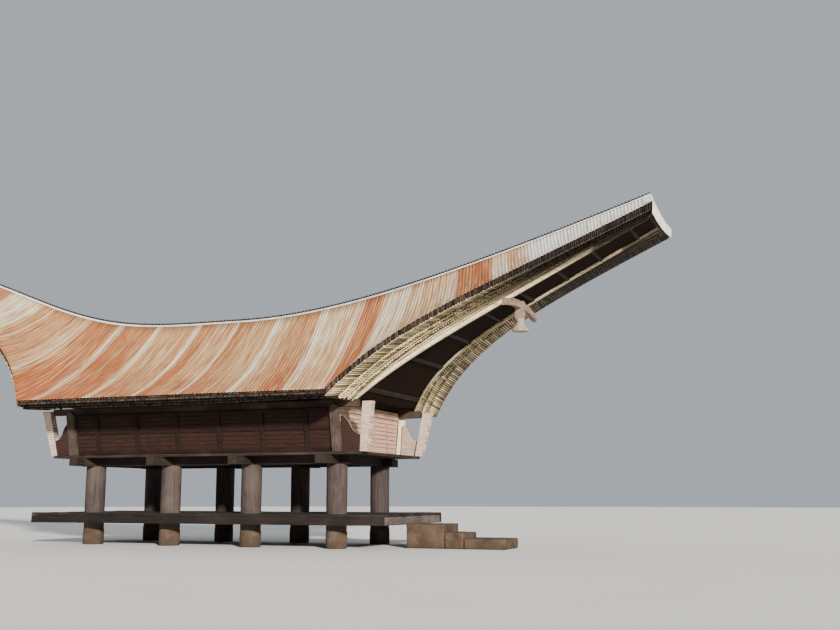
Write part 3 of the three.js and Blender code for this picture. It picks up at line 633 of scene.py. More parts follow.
class Growth(Tree):
    """A geometry tree whose first input is the carrier and whose last is the material."""

    def __init__(self, name, sizes):
        super().__init__(bpy.data.node_groups.new(name, "GeometryNodeTree"))
        sockets = self.tree.interface
        for label in ["Geometry", *sizes, "Material"]:
            kind = SOCKETS.get(label, "NodeSocketFloat")
            sockets.new_socket(label, in_out="INPUT", socket_type=kind)
        sockets.new_socket("Geometry", in_out="OUTPUT", socket_type=SOCKETS["Geometry"])
        self.source = self.tree.nodes.new("NodeGroupInput")

    def input(self, label):
        return Wire(self, self.source.outputs[label])

    def named(self, name, kind="FLOAT"):
        return self.node("GeometryNodeInputNamedAttribute", {"Name": name}, data_type=kind)

    def stored(self, geometry, name, value, domain):
        return self.node("GeometryNodeStoreNamedAttribute", {
            "Geometry": geometry, "Name": name, "Value": value}, data_type="FLOAT", domain=domain)

    def moved(self, geometry, offset):
        return self.node("GeometryNodeSetPosition", {"Geometry": geometry, "Offset": offset})

    def chance(self, low, high, seed):
        return self.node("FunctionNodeRandomValue", {2: low, 3: high, "Seed": seed}, 1,
                         data_type="FLOAT")

    def vector(self, operation, value, out=0, **inputs):
        return self.node("ShaderNodeVectorMath", {0: value, **inputs}, out, operation=operation)

    def end(self, geometry):
        real = self.node("GeometryNodeRealizeInstances", {"Geometry": geometry})
        shaded = self.node("GeometryNodeSetShadeSmooth", {0: real, "Shade Smooth": True})
        dressed = self.node("GeometryNodeSetMaterial", {
            "Geometry": shaded, "Material": self.input("Material")})
        sink = self.tree.nodes.new("NodeGroupOutput")
        self.tree.links.new(dressed.socket, sink.inputs[0])
        print(self.tree.name, "has", len(self.tree.nodes), "nodes")
        return self


print("sockets", SOCKETS)

# %% Run a tree on a carrier mesh
def grow(name, carrier_mesh, growth, sizes, material, replaced=()):
    carrier = put(name + "_carrier", carrier_mesh)
    modifier = carrier.modifiers.new("grow", "NODES")
    modifier.node_group = growth.tree
    values = {**sizes, "Material": material}
    for item in growth.tree.interface.items_tree:
        if item.in_out == "INPUT" and item.name in values:
            modifier[item.identifier] = values[item.name]
    graph = bpy.context.evaluated_depsgraph_get()
    mesh = bpy.data.meshes.new_from_object(
        carrier.evaluated_get(graph), preserve_all_data_layers=True, depsgraph=graph)
    carrier.modifiers.clear()
    bpy.data.objects.remove(carrier)
    settle(put(name, mesh), replaced)


def path_mesh(name, paths):
    corners, edges, aims = [], [], []
    for path in paths:
        start = len(corners)
        corners += [tuple(place) for place, aim in path]
        aims += [component for place, aim in path for component in aim]
        edges += [(start + i, start + i + 1) for i in range(len(path) - 1)]
    mesh = bpy.data.meshes.new(name)
    mesh.from_pydata(corners, edges, [])
    set_values(mesh, "aim", aims, "FLOAT_VECTOR", "vector")
    return mesh


print("carriers carry an aim for each corner")

# %% The tree that lays tubes across a path
TUBE_SIDES = 8
THINNEST, THICKEST = 0.82, 1.12


def tube_growth():
    growth = Growth("tubes_across_a_path", ["Pitch", "Radius", "Raggedness"])
    line = growth.node("GeometryNodeMeshToCurve", {"Mesh": growth.input("Geometry")})
    points = growth.node("GeometryNodeResampleCurve", {
        "Curve": line, "Length": growth.input("Pitch")}, mode="LENGTH")
    tube = growth.node("GeometryNodeMeshCylinder", {
        "Vertices": TUBE_SIDES, "Side Segments": 1, "Radius": growth.input("Radius"),
        "Depth": 1.0}, fill_type="NGON")
    tube = growth.node("GeometryNodeTransform", {"Geometry": tube, "Translation": (0, 0, 0.5)})
    aim = growth.named("aim", "FLOAT_VECTOR")
    turn = growth.node("FunctionNodeAlignRotationToVector", {"Vector": aim}, axis="Z")
    shift = growth.chance(-1.0, 1.0, 3) * growth.input("Raggedness")
    ragged = growth.vector("SCALE", growth.vector("NORMALIZE", aim), Scale=shift)
    girth, length = growth.chance(THINNEST, THICKEST, 5), growth.vector("LENGTH", aim, "Value")
    tubes = growth.node("GeometryNodeInstanceOnPoints", {
        "Points": growth.moved(points, ragged), "Instance": tube, "Rotation": turn,
        "Scale": growth.node("ShaderNodeCombineXYZ", {"X": girth, "Y": girth, "Z": length})})
    return growth.end(growth.stored(tubes, "tone", growth.chance(0.0, 1.0, 7), "INSTANCE"))


tubes = tube_growth()

# %% [markdown]
# ## The bamboo body of the roof
# On the house this is a thick bed of split bamboo. It steps in three times below the eave; along
# each prow its rim is deep, with wide, nearly level steps up to the barge board. It is skinned
# through many sections, to be smoother than the solid that it replaces.

# %% Stations along the roof
BODY_STATIONS, PROW_STATIONS = 12, 40
LINING_END = RIDGE_TIP - 0.06


def lining_places(count=PROW_STATIONS):
    span = LINING_END - EAVE_END
    return [EAVE_END + span * (i / count) ** 1.4 for i in range(count + 1)]


def roof_places():
    half = [EAVE_END * i / BODY_STATIONS for i in range(1, BODY_STATIONS)]
    half += [EAVE_END - 0.02, *lining_places(), RIDGE_TIP]
    return [-x for x in reversed(half)] + [0.0] + half


print(len(roof_places()), "stations along the roof")

# %% Sections of the bamboo
LAYERS, LAYER_THICKNESS, LAYER_STEP = 3, 0.115, 0.105
ROOF_DEPTH = LAYERS * LAYER_THICKNESS
RIM_DEPTH, RIM_UNDERCUT, RIM_STEP_SHARES = 0.150, 0.090, (0.45, 0.75)
BARGE_THICKNESS = 0.050
TOP_SHARES = [0, 0.1, 0.2, 0.3, 0.4, 0.5, 0.6, 0.7, 0.8, 0.9]
UNDERSIDE_INSETS = (0.3, 0.8, 1.3, math.inf)


def rim_levels(ridge_x):
    edge_x = edge_place(ridge_x)
    return edge_half_width(edge_x), barge_half_spread(edge_x), edge_height(edge_x) - RIM_DEPTH


def roof_section(x, side):
    section = [top_point(x, side, share) for share in TOP_SHARES]
    if abs(x) < EAVE_END:
        for layer in range(LAYERS):
            for row in (layer, layer + 1):
                section.append(slope_point(x, side, layer * LAYER_STEP, row * LAYER_THICKNESS))
        insets = UNDERSIDE_INSETS
    else:
        half, spread, foot = rim_levels(x)
        heel = spread - BARGE_THICKNESS
        section += [top_point(x, side, 1), prow_point(x, side, half, foot)]
        for share in RIM_STEP_SHARES:
            y = half - (half - spread) * share
            section += [prow_point(x, side, y, foot + rise) for rise in (RIM_UNDERCUT, 0)]
        section += [prow_point(x, side, y, foot + RIM_UNDERCUT) for y in (spread, heel)]
        insets = (half - heel, math.inf)
    return section + [slope_point(x, side, inset, ROOF_DEPTH) for inset in insets]


SIDES = {"right": -1, "left": 1}
for side_name, side in SIDES.items():
    heap = Heap()
    heap.skin([roof_section(x, side) for x in roof_places()])
    make_piece(f"bamboo_bed_{side_name}", heap, inner_bamboo,
               [f"bamboo_roof_{side_name}"])

# %% [markdown]
# ## Rows of split bamboo on the rims
# The steps show the ends of the bamboo, and their undersides show the tubes running across.
# Rows of real tubes, laid by Geometry Nodes along each step, give the serrated line that the
# eye reads from far away.

# %% Paths of the rows
PROUD, TUBE_RADIUS, TUBE_PITCH = 0.016, 0.021, 0.064
RIM_STATIONS, EAVE_HALF_STATIONS = 60, 12
EAVE_TUBE, EAVE_SAG = 0.30, (0.085, 0.03, 0.0)
ENDS = {"front": 1, "rear": -1}


def flipped(points, end):
    return [Vector((p.x * end, p.y, p.z)) for p in points]


def on_both_ends(rows):
    return [[flipped(pair, end) for pair in row] for row in rows for end in ENDS.values()]


def rim_tube(x, side, share_from, share_to, rise):
    half, spread, foot = rim_levels(x)
    outer = half - (half - spread) * share_from + PROUD
    inner = half - (half - spread) * share_to
    start = prow_point(x, side, outer, foot + rise)
    return start, prow_point(x, side, inner, foot + RIM_UNDERCUT + rise * 0.5) - start


def rim_row(*tube):
    return [rim_tube(x, *tube) for x in lining_places(RIM_STATIONS)]


def rim_slat(x, side, lean=0.022, top=0.004, length=0.142):
    half, _, foot = rim_levels(x)
    start = prow_point(x, side, half + PROUD, foot + RIM_DEPTH - top)
    return start, Vector((0, -side * lean, -length))


def eave_tube(x, side, layer, tier):
    inset, drop = layer * LAYER_STEP, layer * LAYER_THICKNESS + LAYER_THICKNESS * (tier + 0.5) / 2
    start = slope_point(x, side, inset - PROUD, drop)
    return start, slope_point(x, side, inset + EAVE_TUBE, drop + EAVE_SAG[layer]) - start


print("tubes are", TUBE_RADIUS * 2000, "mm thick")

# %% Lay the rows
STEP_TIERS, STEP_REACH = (0.072, 0.044, 0.016), (0.8, 0.97)
SLATS = {"Pitch": 0.045, "Radius": 0.0185, "Raggedness": 0.010}
TUBES = {"Pitch": TUBE_PITCH, "Radius": TUBE_RADIUS, "Raggedness": 0.018}
EAVE_PLACES = [EAVE_END * (i / EAVE_HALF_STATIONS - 1) for i in range(2 * EAVE_HALF_STATIONS + 1)]
for side_name, side in SIDES.items():
    # The top rim rows and the eave rows are near black: partly soot, partly painted shade
    rows = on_both_ends([[rim_slat(x, side) for x in lining_places(RIM_STATIONS)]])
    rows += [[eave_tube(x, side, layer, tier) for x in EAVE_PLACES]
             for layer in range(LAYERS) for tier in (0, 1)]
    carrier = path_mesh("slats", rows)
    grow(f"sooty_slats_{side_name}", carrier, tubes, SLATS, sooty_bamboo)
    rows = [rim_row(side, 0.0, 0.5, 0.010)]
    for share, reach in zip(RIM_STEP_SHARES, STEP_REACH):
        rows += [rim_row(side, share, reach, rise) for rise in STEP_TIERS]
    carrier = path_mesh("rows", on_both_ends(rows))
    grow(f"bamboo_rows_{side_name}", carrier, tubes, TUBES, tan_bamboo)

# %% Long rods that bind the rows
# Each rod: its place as a share of the rim's width, its rise above the rim's foot, its tone
RODS = [(0, -0.010, 0.6), (0.45, 0.020, 0.05), (0.62, 0, 0.3), (0.75, 0.018, 0), (0.9, 0, 0.2)]
ROD_SIZE, ROD_STATIONS = 0.014, 48


def rod_section(x, side, share, rise):
    half, spread, foot = rim_levels(x)
    y, z = half - (half - spread) * share + PROUD, foot + rise
    far, top = y + ROD_SIZE, z + ROD_SIZE
    return [prow_point(x, side, *corner) for corner in ((y, z), (far, z), (far, top), (y, top))]


for side_name, side in SIDES.items():
    heap = Heap()
    for end in ENDS.values():
        for share, rise, tone in RODS:
            rod = [rod_section(x, side, share, rise) for x in lining_places(ROD_STATIONS)]
            heap.skin([flipped(section, end) for section in rod], tone)
    make_piece(f"binding_rods_{side_name}", heap, tan_bamboo)

# %% [markdown]
# ## Corrugated iron sheets
# The waves run down the slope. A flat strip, finely divided along the ridge, carries the
# direction in which it is lifted; the node tree raises it by a wave, gives it thickness and
# keeps the wave as an attribute for the dirt in the troughs.

# %% The tree that corrugates
WELD = 0.00005


def wave_growth():
    growth = Growth("corrugate", ["Pitch", "Depth", "Thickness"])
    along, lift = growth.named("along"), growth.named("lift", "FLOAT_VECTOR")
    thickness = growth.input("Thickness")
    phase = along / growth.input("Pitch") * math.tau
    crest = phase.maths("SINE", phase) * 0.5 + 0.5
    marked = growth.stored(growth.input("Geometry"), "crest", crest, "POINT")
    rise = crest * growth.input("Depth") + thickness
    top = growth.moved(marked, growth.vector("SCALE", lift, Scale=rise))
    extruded = growth.node("GeometryNodeExtrudeMesh", {
        "Mesh": top, "Offset": growth.vector("SCALE", lift, Scale=thickness),
        "Offset Scale": 1.0, "Individual": False}, mode="FACES")
    under = growth.node("GeometryNodeFlipFaces", {"Mesh": top})
    both = growth.node("GeometryNodeJoinGeometry", {0: extruded})
    growth.feed(both.socket.node.inputs[0], under)
    return growth.end(growth.node("GeometryNodeMergeByDistance", {
        "Geometry": both, "Distance": WELD}))


waves = wave_growth()

# %% Lines that a sheet's waves follow
SHEET_SKEW, STRAIGHTER, STRAIGHTEST_AT = 0.13, 0.17, 3.9
TIP_RULES_FROM, TIP_RULES_OVER, SLOPE_STEP = 7.5, 2.5, 0.05


def smooth(share):
    share = min(1.0, max(0.0, share))
    return share * share * (3 - 2 * share)


def sheet_lean(x):
    """Sheets lie square to the sloping ridge, so lower down they stand nearer to the tip."""
    edge_x = edge_place(x)
    fall = (ridge_height(x) - edge_height(edge_x)) / edge_half_width(edge_x)
    rise = ridge_height(x + SLOPE_STEP) - ridge_height(x - SLOPE_STEP)
    square = fall * rise / (2 * SLOPE_STEP)
    square += SHEET_SKEW - STRAIGHTER * math.exp(-(x - STRAIGHTEST_AT) ** 2)
    tip = math.copysign((EDGE_TIP - RIDGE_TIP) / edge_half_width(EDGE_TIP), x)
    return square + (tip - square) * smooth((abs(x) - TIP_RULES_FROM) / TIP_RULES_OVER)


def sheet_point(line_x, side, share, lift):
    """The line leans with its distance from the ridge, so its ridge place is found in rounds."""
    ridge_x = line_x
    for _ in range(8):
        reach = sheet_lean(line_x) * edge_half_width(edge_place(ridge_x)) * share
        ridge_x = line_x + reach - (edge_place(ridge_x) - ridge_x) * share
    ridge_x = min(RIDGE_TIP, max(-RIDGE_TIP, ridge_x))
    return top_point(ridge_x, side, share, -lift)


print("at the body's end a sheet leans", round(sheet_lean(EAVE_END), 2), "m for each metre")

# %% Flat strips to corrugate
WAVE_PITCH, WAVE_DEPTH, SHEET_THICKNESS = 0.076, 0.016, 0.0025
SAMPLES_PER_WAVE = 6
SHEET_OVERHANG = 0.045
SHEET_WIDTH, FIRST_SEAM, LAP, LAP_RISE = 1.13, -0.04, 0.045, 0.005
WAVE_COUNT = round(2 * RIDGE_TIP / WAVE_PITCH * SAMPLES_PER_WAVE)


def wave_places():
    return [RIDGE_TIP * (2 * i / WAVE_COUNT - 1) for i in range(WAVE_COUNT + 1)]


def lap_at(x):
    away = abs((x - FIRST_SEAM + SHEET_WIDTH / 2) % SHEET_WIDTH - SHEET_WIDTH / 2)
    return 1 - smooth(away / LAP)


def strip_mesh(name, lines, faces_up):
    """Each line: its place along the ridge, its corners, the direction of its lift, its lap."""
    rows = len(lines[0][1])
    faces = []
    for i in range(len(lines) - 1):
        for a in range(i * rows, (i + 1) * rows - 1):
            quad = [a, a + 1, a + 1 + rows, a + rows]
            faces.append(quad if faces_up else quad[::-1])
    mesh = bpy.data.meshes.new(name)
    mesh.from_pydata([tuple(corner) for _, line, _, _ in lines for corner in line], [], faces)
    set_values(mesh, "along", [x for x, line, _, _ in lines for _ in line])
    set_values(mesh, "lap", [lap for _, line, _, lap in lines for _ in line])
    lifts = [part for _, line, lift, _ in lines for _ in line for part in lift]
    set_values(mesh, "lift", lifts, "FLOAT_VECTOR", "vector")
    return mesh


def sheet_line(x, side):
    half, lap = edge_half_width(edge_place(x)), lap_at(x)
    shares = [*TOP_SHARES, 1, 1 + SHEET_OVERHANG / half]
    line = [sheet_point(x, side, share, lap * LAP_RISE) for share in shares]
    fall = line[0].z - line[-1].z
    return x, line, Vector((0, side * fall, half)).normalized(), lap


for side_name, side in SIDES.items():
    strip = strip_mesh("sheet", [sheet_line(x, side) for x in wave_places()], side < 0)
    sizes = {"Pitch": WAVE_PITCH, "Depth": WAVE_DEPTH, "Thickness": SHEET_THICKNESS}
    grow(f"corrugated_sheets_{side_name}", strip, waves, sizes, rusted_iron,
         [f"iron_sheets_{side_name}"])

# %% [markdown]
# ## Barge boards, lining and battens
# A barge board stands on edge below the inner end of the rim and follows it to the tip. The
# lining between two boards is of mats, held by battens across. Boards and lining are skinned
# through fine sections; the battens are straight.

# %% Barge boards with their fillets
# Each run: how far it starts and ends outside the board's face, its low and high line, its
# tone. Lines from 0 up are counted from the foot, lines below 0 from the top; None is the top.
BOARD_RUNS = [(-BARGE_THICKNESS, 0, 0.012, None, 0.45), (-0.03, 0.026, -0.050, -0.014, 0.15),
              (-0.03, 0.018, 0.022, 0.094, 0), (-BARGE_THICKNESS - 0.01, -0.004, 0, 0.030, 0.95)]
# Thin dark strips where the board's runs meet stand for the shadow lines there: painted shade
SHADOW_LINE_RUNS = [(-0.03, 0.006, 0.096, 0.116, 0.6), (-0.03, 0.006, -0.012, None, 0.6)]


def barge_section(x, side, out_from, out_to, low, high):
    edge_x = edge_place(x)
    top = edge_height(edge_x) - RIM_DEPTH + RIM_UNDERCUT
    base = barge_foot(edge_x) if low >= 0 else top
    z0, z1 = base + low, top if high is None else base + high
    y0, y1 = (barge_half_spread(edge_x) + out for out in (out_from, out_to))
    return [prow_point(x, side, *corner) for corner in ((y1, z1), (y1, z0), (y0, z0), (y0, z1))]


def barge_heap(side, end, runs):
    heap = Heap()
    for *run, tone in runs:
        heap.skin([flipped(barge_section(x, side, *run), end) for x in lining_places()], tone)
    return heap


for end_name, end in ENDS.items():
    for side_name, side in SIDES.items():
        place = f"{end_name}_{side_name}"
        make_piece(f"prow_board_{place}", barge_heap(side, end, BOARD_RUNS), pale_wood_x,
                   [f"barge_board_{place}"])
        make_piece(f"prow_board_shadow_lines_{place}", barge_heap(side, end, SHADOW_LINE_RUNS), dark_wood_x)

# %% The lining and its battens
SOFFIT_RISE, SOFFIT_THICKNESS, SOFFIT_GAP, GABLE_FACE = 0.060, 0.030, 0.0003, 3.44
BATTEN_SPACING, BATTEN_WIDTH, BATTEN_DEPTH = 0.78, 0.055, (-0.034, 0.002)


def lining_section(x, end, low, high):
    edge_x = edge_place(x)
    half = barge_half_spread(edge_x) - BARGE_THICKNESS - SOFFIT_GAP
    bottom = barge_foot(edge_x) + SOFFIT_RISE
    corners = ((-1, low), (1, low), (1, high), (-1, high))
    return flipped([prow_point(x, side, half, bottom + rise) for side, rise in corners], end)


for end_name, end in ENDS.items():
    heap = Heap()
    places = [GABLE_FACE + 0.03, *lining_places()]
    heap.skin([lining_section(x, end, 0, SOFFIT_THICKNESS) for x in places])
    make_piece(f"mat_lining_{end_name}", heap, woven_mat, [f"soffit_{end_name}"])
    heap = Heap()
    place = EAVE_END + 0.15
    while place < LINING_END - 0.2:
        batten = [lining_section(x, end, *BATTEN_DEPTH) for x in (place, place + BATTEN_WIDTH)]
        heap.skin(batten, dice.random())
        place += BATTEN_SPACING * dice.uniform(0.92, 1.08)
    make_piece(f"lining_battens_{end_name}", heap, dark_wood_y)

# %% [markdown]
# ## Ridge capping and end flashings
# A folded strip of zinc covers the ridge, and on it a narrower roll, coloured near black as
# painted shade; its waves show as the serrated line on the skyline. At each tip a bright folded
# plate closes the front edge of both slopes.

# %% Ridge capping
UP = Vector((0, 0, 1))
CAP_THICKNESS = 0.003


def cap_line(x, width, lift):
    share = width / edge_half_width(edge_place(x))
    right, left = (sheet_point(x, side, share, lift) for side in SIDES.values())
    peak = sheet_point(x, 1, 0, lift + width * 0.05)
    peak.y = 0
    return [right, peak, left]


def grow_cap(name, width, lift, depth, material):
    lines = [(x, cap_line(x, width, lift), UP, 0.0) for x in wave_places()]
    sizes = {"Pitch": WAVE_PITCH, "Depth": depth, "Thickness": CAP_THICKNESS}
    grow(name, strip_mesh(name, lines, False), waves, sizes, material)


grow_cap("ridge_capping", 0.065, 0.016, 0.006, white_zinc)
# The roll's near-black colour is painted shade
grow_cap("ridge_roll", 0.034, 0.034, 0.024, ridge_iron)

# %% End flashings
FLASHING_DROP, FLASHING_TAPER, FLASHING_BACK, FLASHING_SKIN = 0.36, 0.5, 0.16, 0.004
FLASHING_LIFT, FLASHING_FORWARD, FLASHING_STEPS = 0.030, 0.012, 8
RIDGE_FALL = ridge_height(RIDGE_TIP) - ridge_height(RIDGE_TIP - FLASHING_BACK)


def flashing_section(share, side):
    tip_half = edge_half_width(EDGE_TIP)
    share_down = share * (tip_half + SHEET_OVERHANG) / tip_half
    front = top_point(RIDGE_TIP, side, share_down, -FLASHING_LIFT)
    front.x += FLASHING_FORWARD
    back = front - Vector((FLASHING_BACK, 0, RIDGE_FALL))
    drop = front - Vector((0.01, 0, FLASHING_DROP * (1 - FLASHING_TAPER * share)))
    skin, out = Vector((0, 0, FLASHING_SKIN)), Vector((FLASHING_SKIN, 0, 0))
    return [back + skin, front + skin + out, drop + out, drop, front, back]


for end_name, end in ENDS.items():
    heap = Heap()
    for side in SIDES.values():
        shares = [i / FLASHING_STEPS for i in range(FLASHING_STEPS + 1)]
        heap.skin([flipped(flashing_section(share, side), end) for share in shares], 0.1)
    make_piece(f"tip_flashing_{end_name}", heap, white_zinc)

# %% [markdown]
# ## Columns
# Each column is one hewn trunk, round and a little uneven, and its foot is a little wider and
# has the look of stone. A turned profile with small seeded swellings comes closer to that than a
# true cylinder.

# %% Columns as uneven trunks
COLUMN_SPACING, ROW_SPACING = 2.14, 2.40
COLUMN_TOP, COLUMN_RADIUS, FOOT_RADIUS, FOOT_HEIGHT = 1.83, 0.235, 0.245, 0.38
COLUMN_SIDES, COLUMN_STEPS = 40, 7
COLUMN_PLACES = [COLUMN_SPACING * (1.5 - i) for i in range(4)]
SHAFT_START, SHAFT_LENGTH = FOOT_HEIGHT + 0.02, COLUMN_TOP - FOOT_HEIGHT - 0.04
# Profiles, as radius and height
SHAFT = [(COLUMN_RADIUS - 0.01, FOOT_HEIGHT - 0.01), (COLUMN_RADIUS, SHAFT_START)]
SHAFT += [(COLUMN_RADIUS, SHAFT_START + SHAFT_LENGTH * k / COLUMN_STEPS)
          for k in range(1, COLUMN_STEPS + 1)]
SHAFT += [(COLUMN_RADIUS - 0.008, COLUMN_TOP)]
FOOT = [(FOOT_RADIUS - 0.012, 0.0), (FOOT_RADIUS, 0.02), (FOOT_RADIUS + 0.002, 0.2),
        (FOOT_RADIUS - 0.002, FOOT_HEIGHT - 0.03), (FOOT_RADIUS - 0.012, FOOT_HEIGHT)]


def trunk(heap, x, side, profile, uneven, darkest):
    tone = dice.uniform(0, darkest)
    y = side * ROW_SPACING / 2
    phases = [dice.uniform(0, math.tau) for _ in range(4)]
    sections = []
    for radius, z in profile:
        ring = []
        for k in range(COLUMN_SIDES):
            turn = math.tau * k / COLUMN_SIDES
            swell = math.sin(2 * turn + phases[0] + z) * 0.6
            swell += math.sin(3 * turn + phases[1] - 2 * z) * 0.4
            reach = radius + uneven * (swell - 1.0)
            ring.append(Vector((x + reach * math.cos(turn), y + reach * math.sin(turn), z)))
        sections.append(ring)
    heap.skin(sections, tone)


for side_name, side in SIDES.items():
    for i, x in enumerate(COLUMN_PLACES, 1):
        heap = Heap()
        trunk(heap, x, side, SHAFT, 0.004, 0.35)
        make_piece(f"round_column_{side_name}_{i}", heap, column_wood,
                   [f"column_{side_name}_{i}"], smooth=True)

# %% Stone feet
heap = Heap()
for side in SIDES.values():
    for x in COLUMN_PLACES:
        trunk(heap, x, side, FOOT, 0.008, 1.0)
make_piece("column_feet", heap, step_stone)

# %% [markdown]
# ## The sitting platform
# Between the columns is a floor of thick planks along the house; where a column comes through,
# short pieces fill in. Each plank is a hewn board of its own, so that gaps and uneven ends show.

# %% Deck planks
PLATFORM_TOP, DECK_THICKNESS, PLANK_GAP = 0.745, 0.060, 0.006
DECK_BOTTOM = PLATFORM_TOP - DECK_THICKNESS
HALF_LENGTH, HALF_WIDTH = 4.56, 1.81
PLANK_EDGES = [-HALF_WIDTH, -1.615, -1.42, -1.20, -0.98, -0.74, -0.49, -0.245, 0.0]
PLANK_EDGES += [-y for y in reversed(PLANK_EDGES[:-1])]
COLUMN_STRIP = (0.98, 1.42)


def spans(low, high):
    """Planks between the columns are short; the others meet at a joint somewhere."""
    if not COLUMN_STRIP[0] <= abs(low + high) / 2 <= COLUMN_STRIP[1]:
        joint = dice.uniform(-1.5, 1.5)
        return [(-HALF_LENGTH, joint), (joint, HALF_LENGTH)]
    cuts = [-HALF_LENGTH]
    for x in reversed(COLUMN_PLACES):
        cuts += [x - COLUMN_RADIUS - 0.01, x + COLUMN_RADIUS + 0.01]
    cuts.append(HALF_LENGTH)
    return list(zip(cuts[::2], cuts[1::2]))


heap = Heap()
half_gap = PLANK_GAP / 2
for low, high in zip(PLANK_EDGES, PLANK_EDGES[1:]):
    for start, stop in spans(low, high):
        top = PLATFORM_TOP + dice.uniform(-0.004, 0)
        board(heap, (start + half_gap, low + half_gap, DECK_BOTTOM),
              (stop - half_gap, high - half_gap, top))
make_piece("deck_planks", heap, deck_wood, ["platform_deck"])

# %% The rails and bearers under the deck
FRAME_BOTTOM, RAIL_WIDTH, BEARER_HALF, LIE_IN = DECK_BOTTOM - 0.175, 0.12, 0.07, 0.06
RAIL_JOINT, RAIL_TONES = 0.7, (0.7, 0.25)


def frame_board(heap, x0, x1, y0, y1, tone=None):
    board(heap, (x0, y0, FRAME_BOTTOM), (x1, y1, DECK_BOTTOM), tone, 0.003)


heap = Heap()
for side in SIDES.values():
    y = sorted((side * HALF_WIDTH, side * (HALF_WIDTH - RAIL_WIDTH)))
    frame_board(heap, -HALF_LENGTH, RAIL_JOINT, *y, RAIL_TONES[0])
    frame_board(heap, RAIL_JOINT, HALF_LENGTH, *y, RAIL_TONES[1])
for x in COLUMN_PLACES:
    frame_board(heap, x - BEARER_HALF, x + BEARER_HALF, -HALF_WIDTH + LIE_IN, HALF_WIDTH - LIE_IN)
make_piece("platform_rails", heap, shaded_rail_wood, ["platform_frame"])
heap = Heap()
for end in ENDS.values():
    x = sorted((end * HALF_LENGTH, end * (HALF_LENGTH - RAIL_WIDTH)))
    frame_board(heap, *x, -HALF_WIDTH + 0.122, HALF_WIDTH - 0.122, 0.05)
make_piece("platform_end_rails", heap, edge_wood_y)

# %% [markdown]
# ## Stone steps
# Three blocks lead up to the platform. Real blocks are rough, so each one is a box that is
# rounded, divided and pushed about by seeded noise.

# %% Rough stone blocks
from mathutils import noise as field

LONGEST_EDGE, ROUNDING, ROUGHNESS, SMALLER = 0.11, 0.03, 0.018, 0.012


def rough_block(name, node, seed):
    low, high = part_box(node)
    work = bmesh.new()
    bmesh.ops.create_cube(work, size=1.0)
    for corner in work.verts:
        corner.co = Vector([(low[k] + high[k]) / 2 + corner.co[k] * (high[k] - low[k])
                            for k in range(3)])
    bmesh.ops.bevel(work, geom=work.edges[:], offset=ROUNDING, segments=2, affect="EDGES",
                    profile=0.6)
    bmesh.ops.triangulate(work, faces=work.faces[:])
    for _ in range(3):
        long = [edge for edge in work.edges if edge.calc_length() > LONGEST_EDGE]
        bmesh.ops.subdivide_edges(work, edges=long, cuts=1)
        bmesh.ops.triangulate(work, faces=[f for f in work.faces if len(f.verts) > 3])
    centre = (low + high) / 2
    for corner in work.verts:
        rough = field.fractal(corner.co * 4 + Vector((seed, 0, 0)), 1.0, 2.0, 4)
        corner.co += (corner.co - centre).normalized() * (rough * ROUGHNESS - SMALLER)
        corner.co.z = max(corner.co.z, 0.0)
    close_up(name, work, bpy.data.meshes.new(name), step_stone, [node], True)


for seed, level in enumerate(("upper", "middle", "lower")):
    rough_block(f"step_block_{level}", f"stone_step_{level}", seed * 7.3)

# %% [markdown]
# ## Walls of the room
# The side walls lean out. Each is a row of carved boards between a sill and a top rail, with
# posts between. The frame stands proud of the boards, and the boards carry carved ornament.

# %% Frames of the side walls
WALL_BOTTOM, WALL_TOP, WALL_FOOT_Y, WALL_HALF_LENGTH = 2.08, 3.03, 1.70, 3.42
WALL_FLARE, STAND_OFF, WALL_WOBBLE = 0.20, 0.0005, 0.002
SILL, MIDDLE_RAIL, TOP_RAIL = (2.085, 2.175), (2.55, 2.60), (2.955, 3.02)
POST_SPAN, POST_COUNT, FRAME_REACH = (SILL[1], TOP_RAIL[0]), 6, 3.3


def leaned(point, side):
    lean = WALL_FLARE * (point.z - WALL_BOTTOM) / (WALL_TOP - WALL_BOTTOM)
    return Vector((point.x, side * (point.y + lean), point.z))


for side_name, side in SIDES.items():
    heap = Heap()
    y = WALL_FOOT_Y + STAND_OFF
    rails = [(SILL, 0.045, 0.2), (TOP_RAIL, 0.035, 0.3), (MIDDLE_RAIL, 0.022, 0.5)]
    boards = [(-FRAME_REACH, FRAME_REACH, *rail) for rail in rails]
    for i in range(POST_COUNT):
        x = -FRAME_REACH + 2 * FRAME_REACH * (i + 0.5) / POST_COUNT
        boards.append((x - 0.05, x + 0.05, POST_SPAN, 0.04, 0.1))
    for x0, x1, (low, high), depth, tone in boards:
        board(heap, (x0, y, low), (x1, y + depth, high), tone, WALL_WOBBLE,
              lambda point: leaned(point, side))
    make_piece(f"wall_frame_{side_name}", heap, shaded_frame_wood)

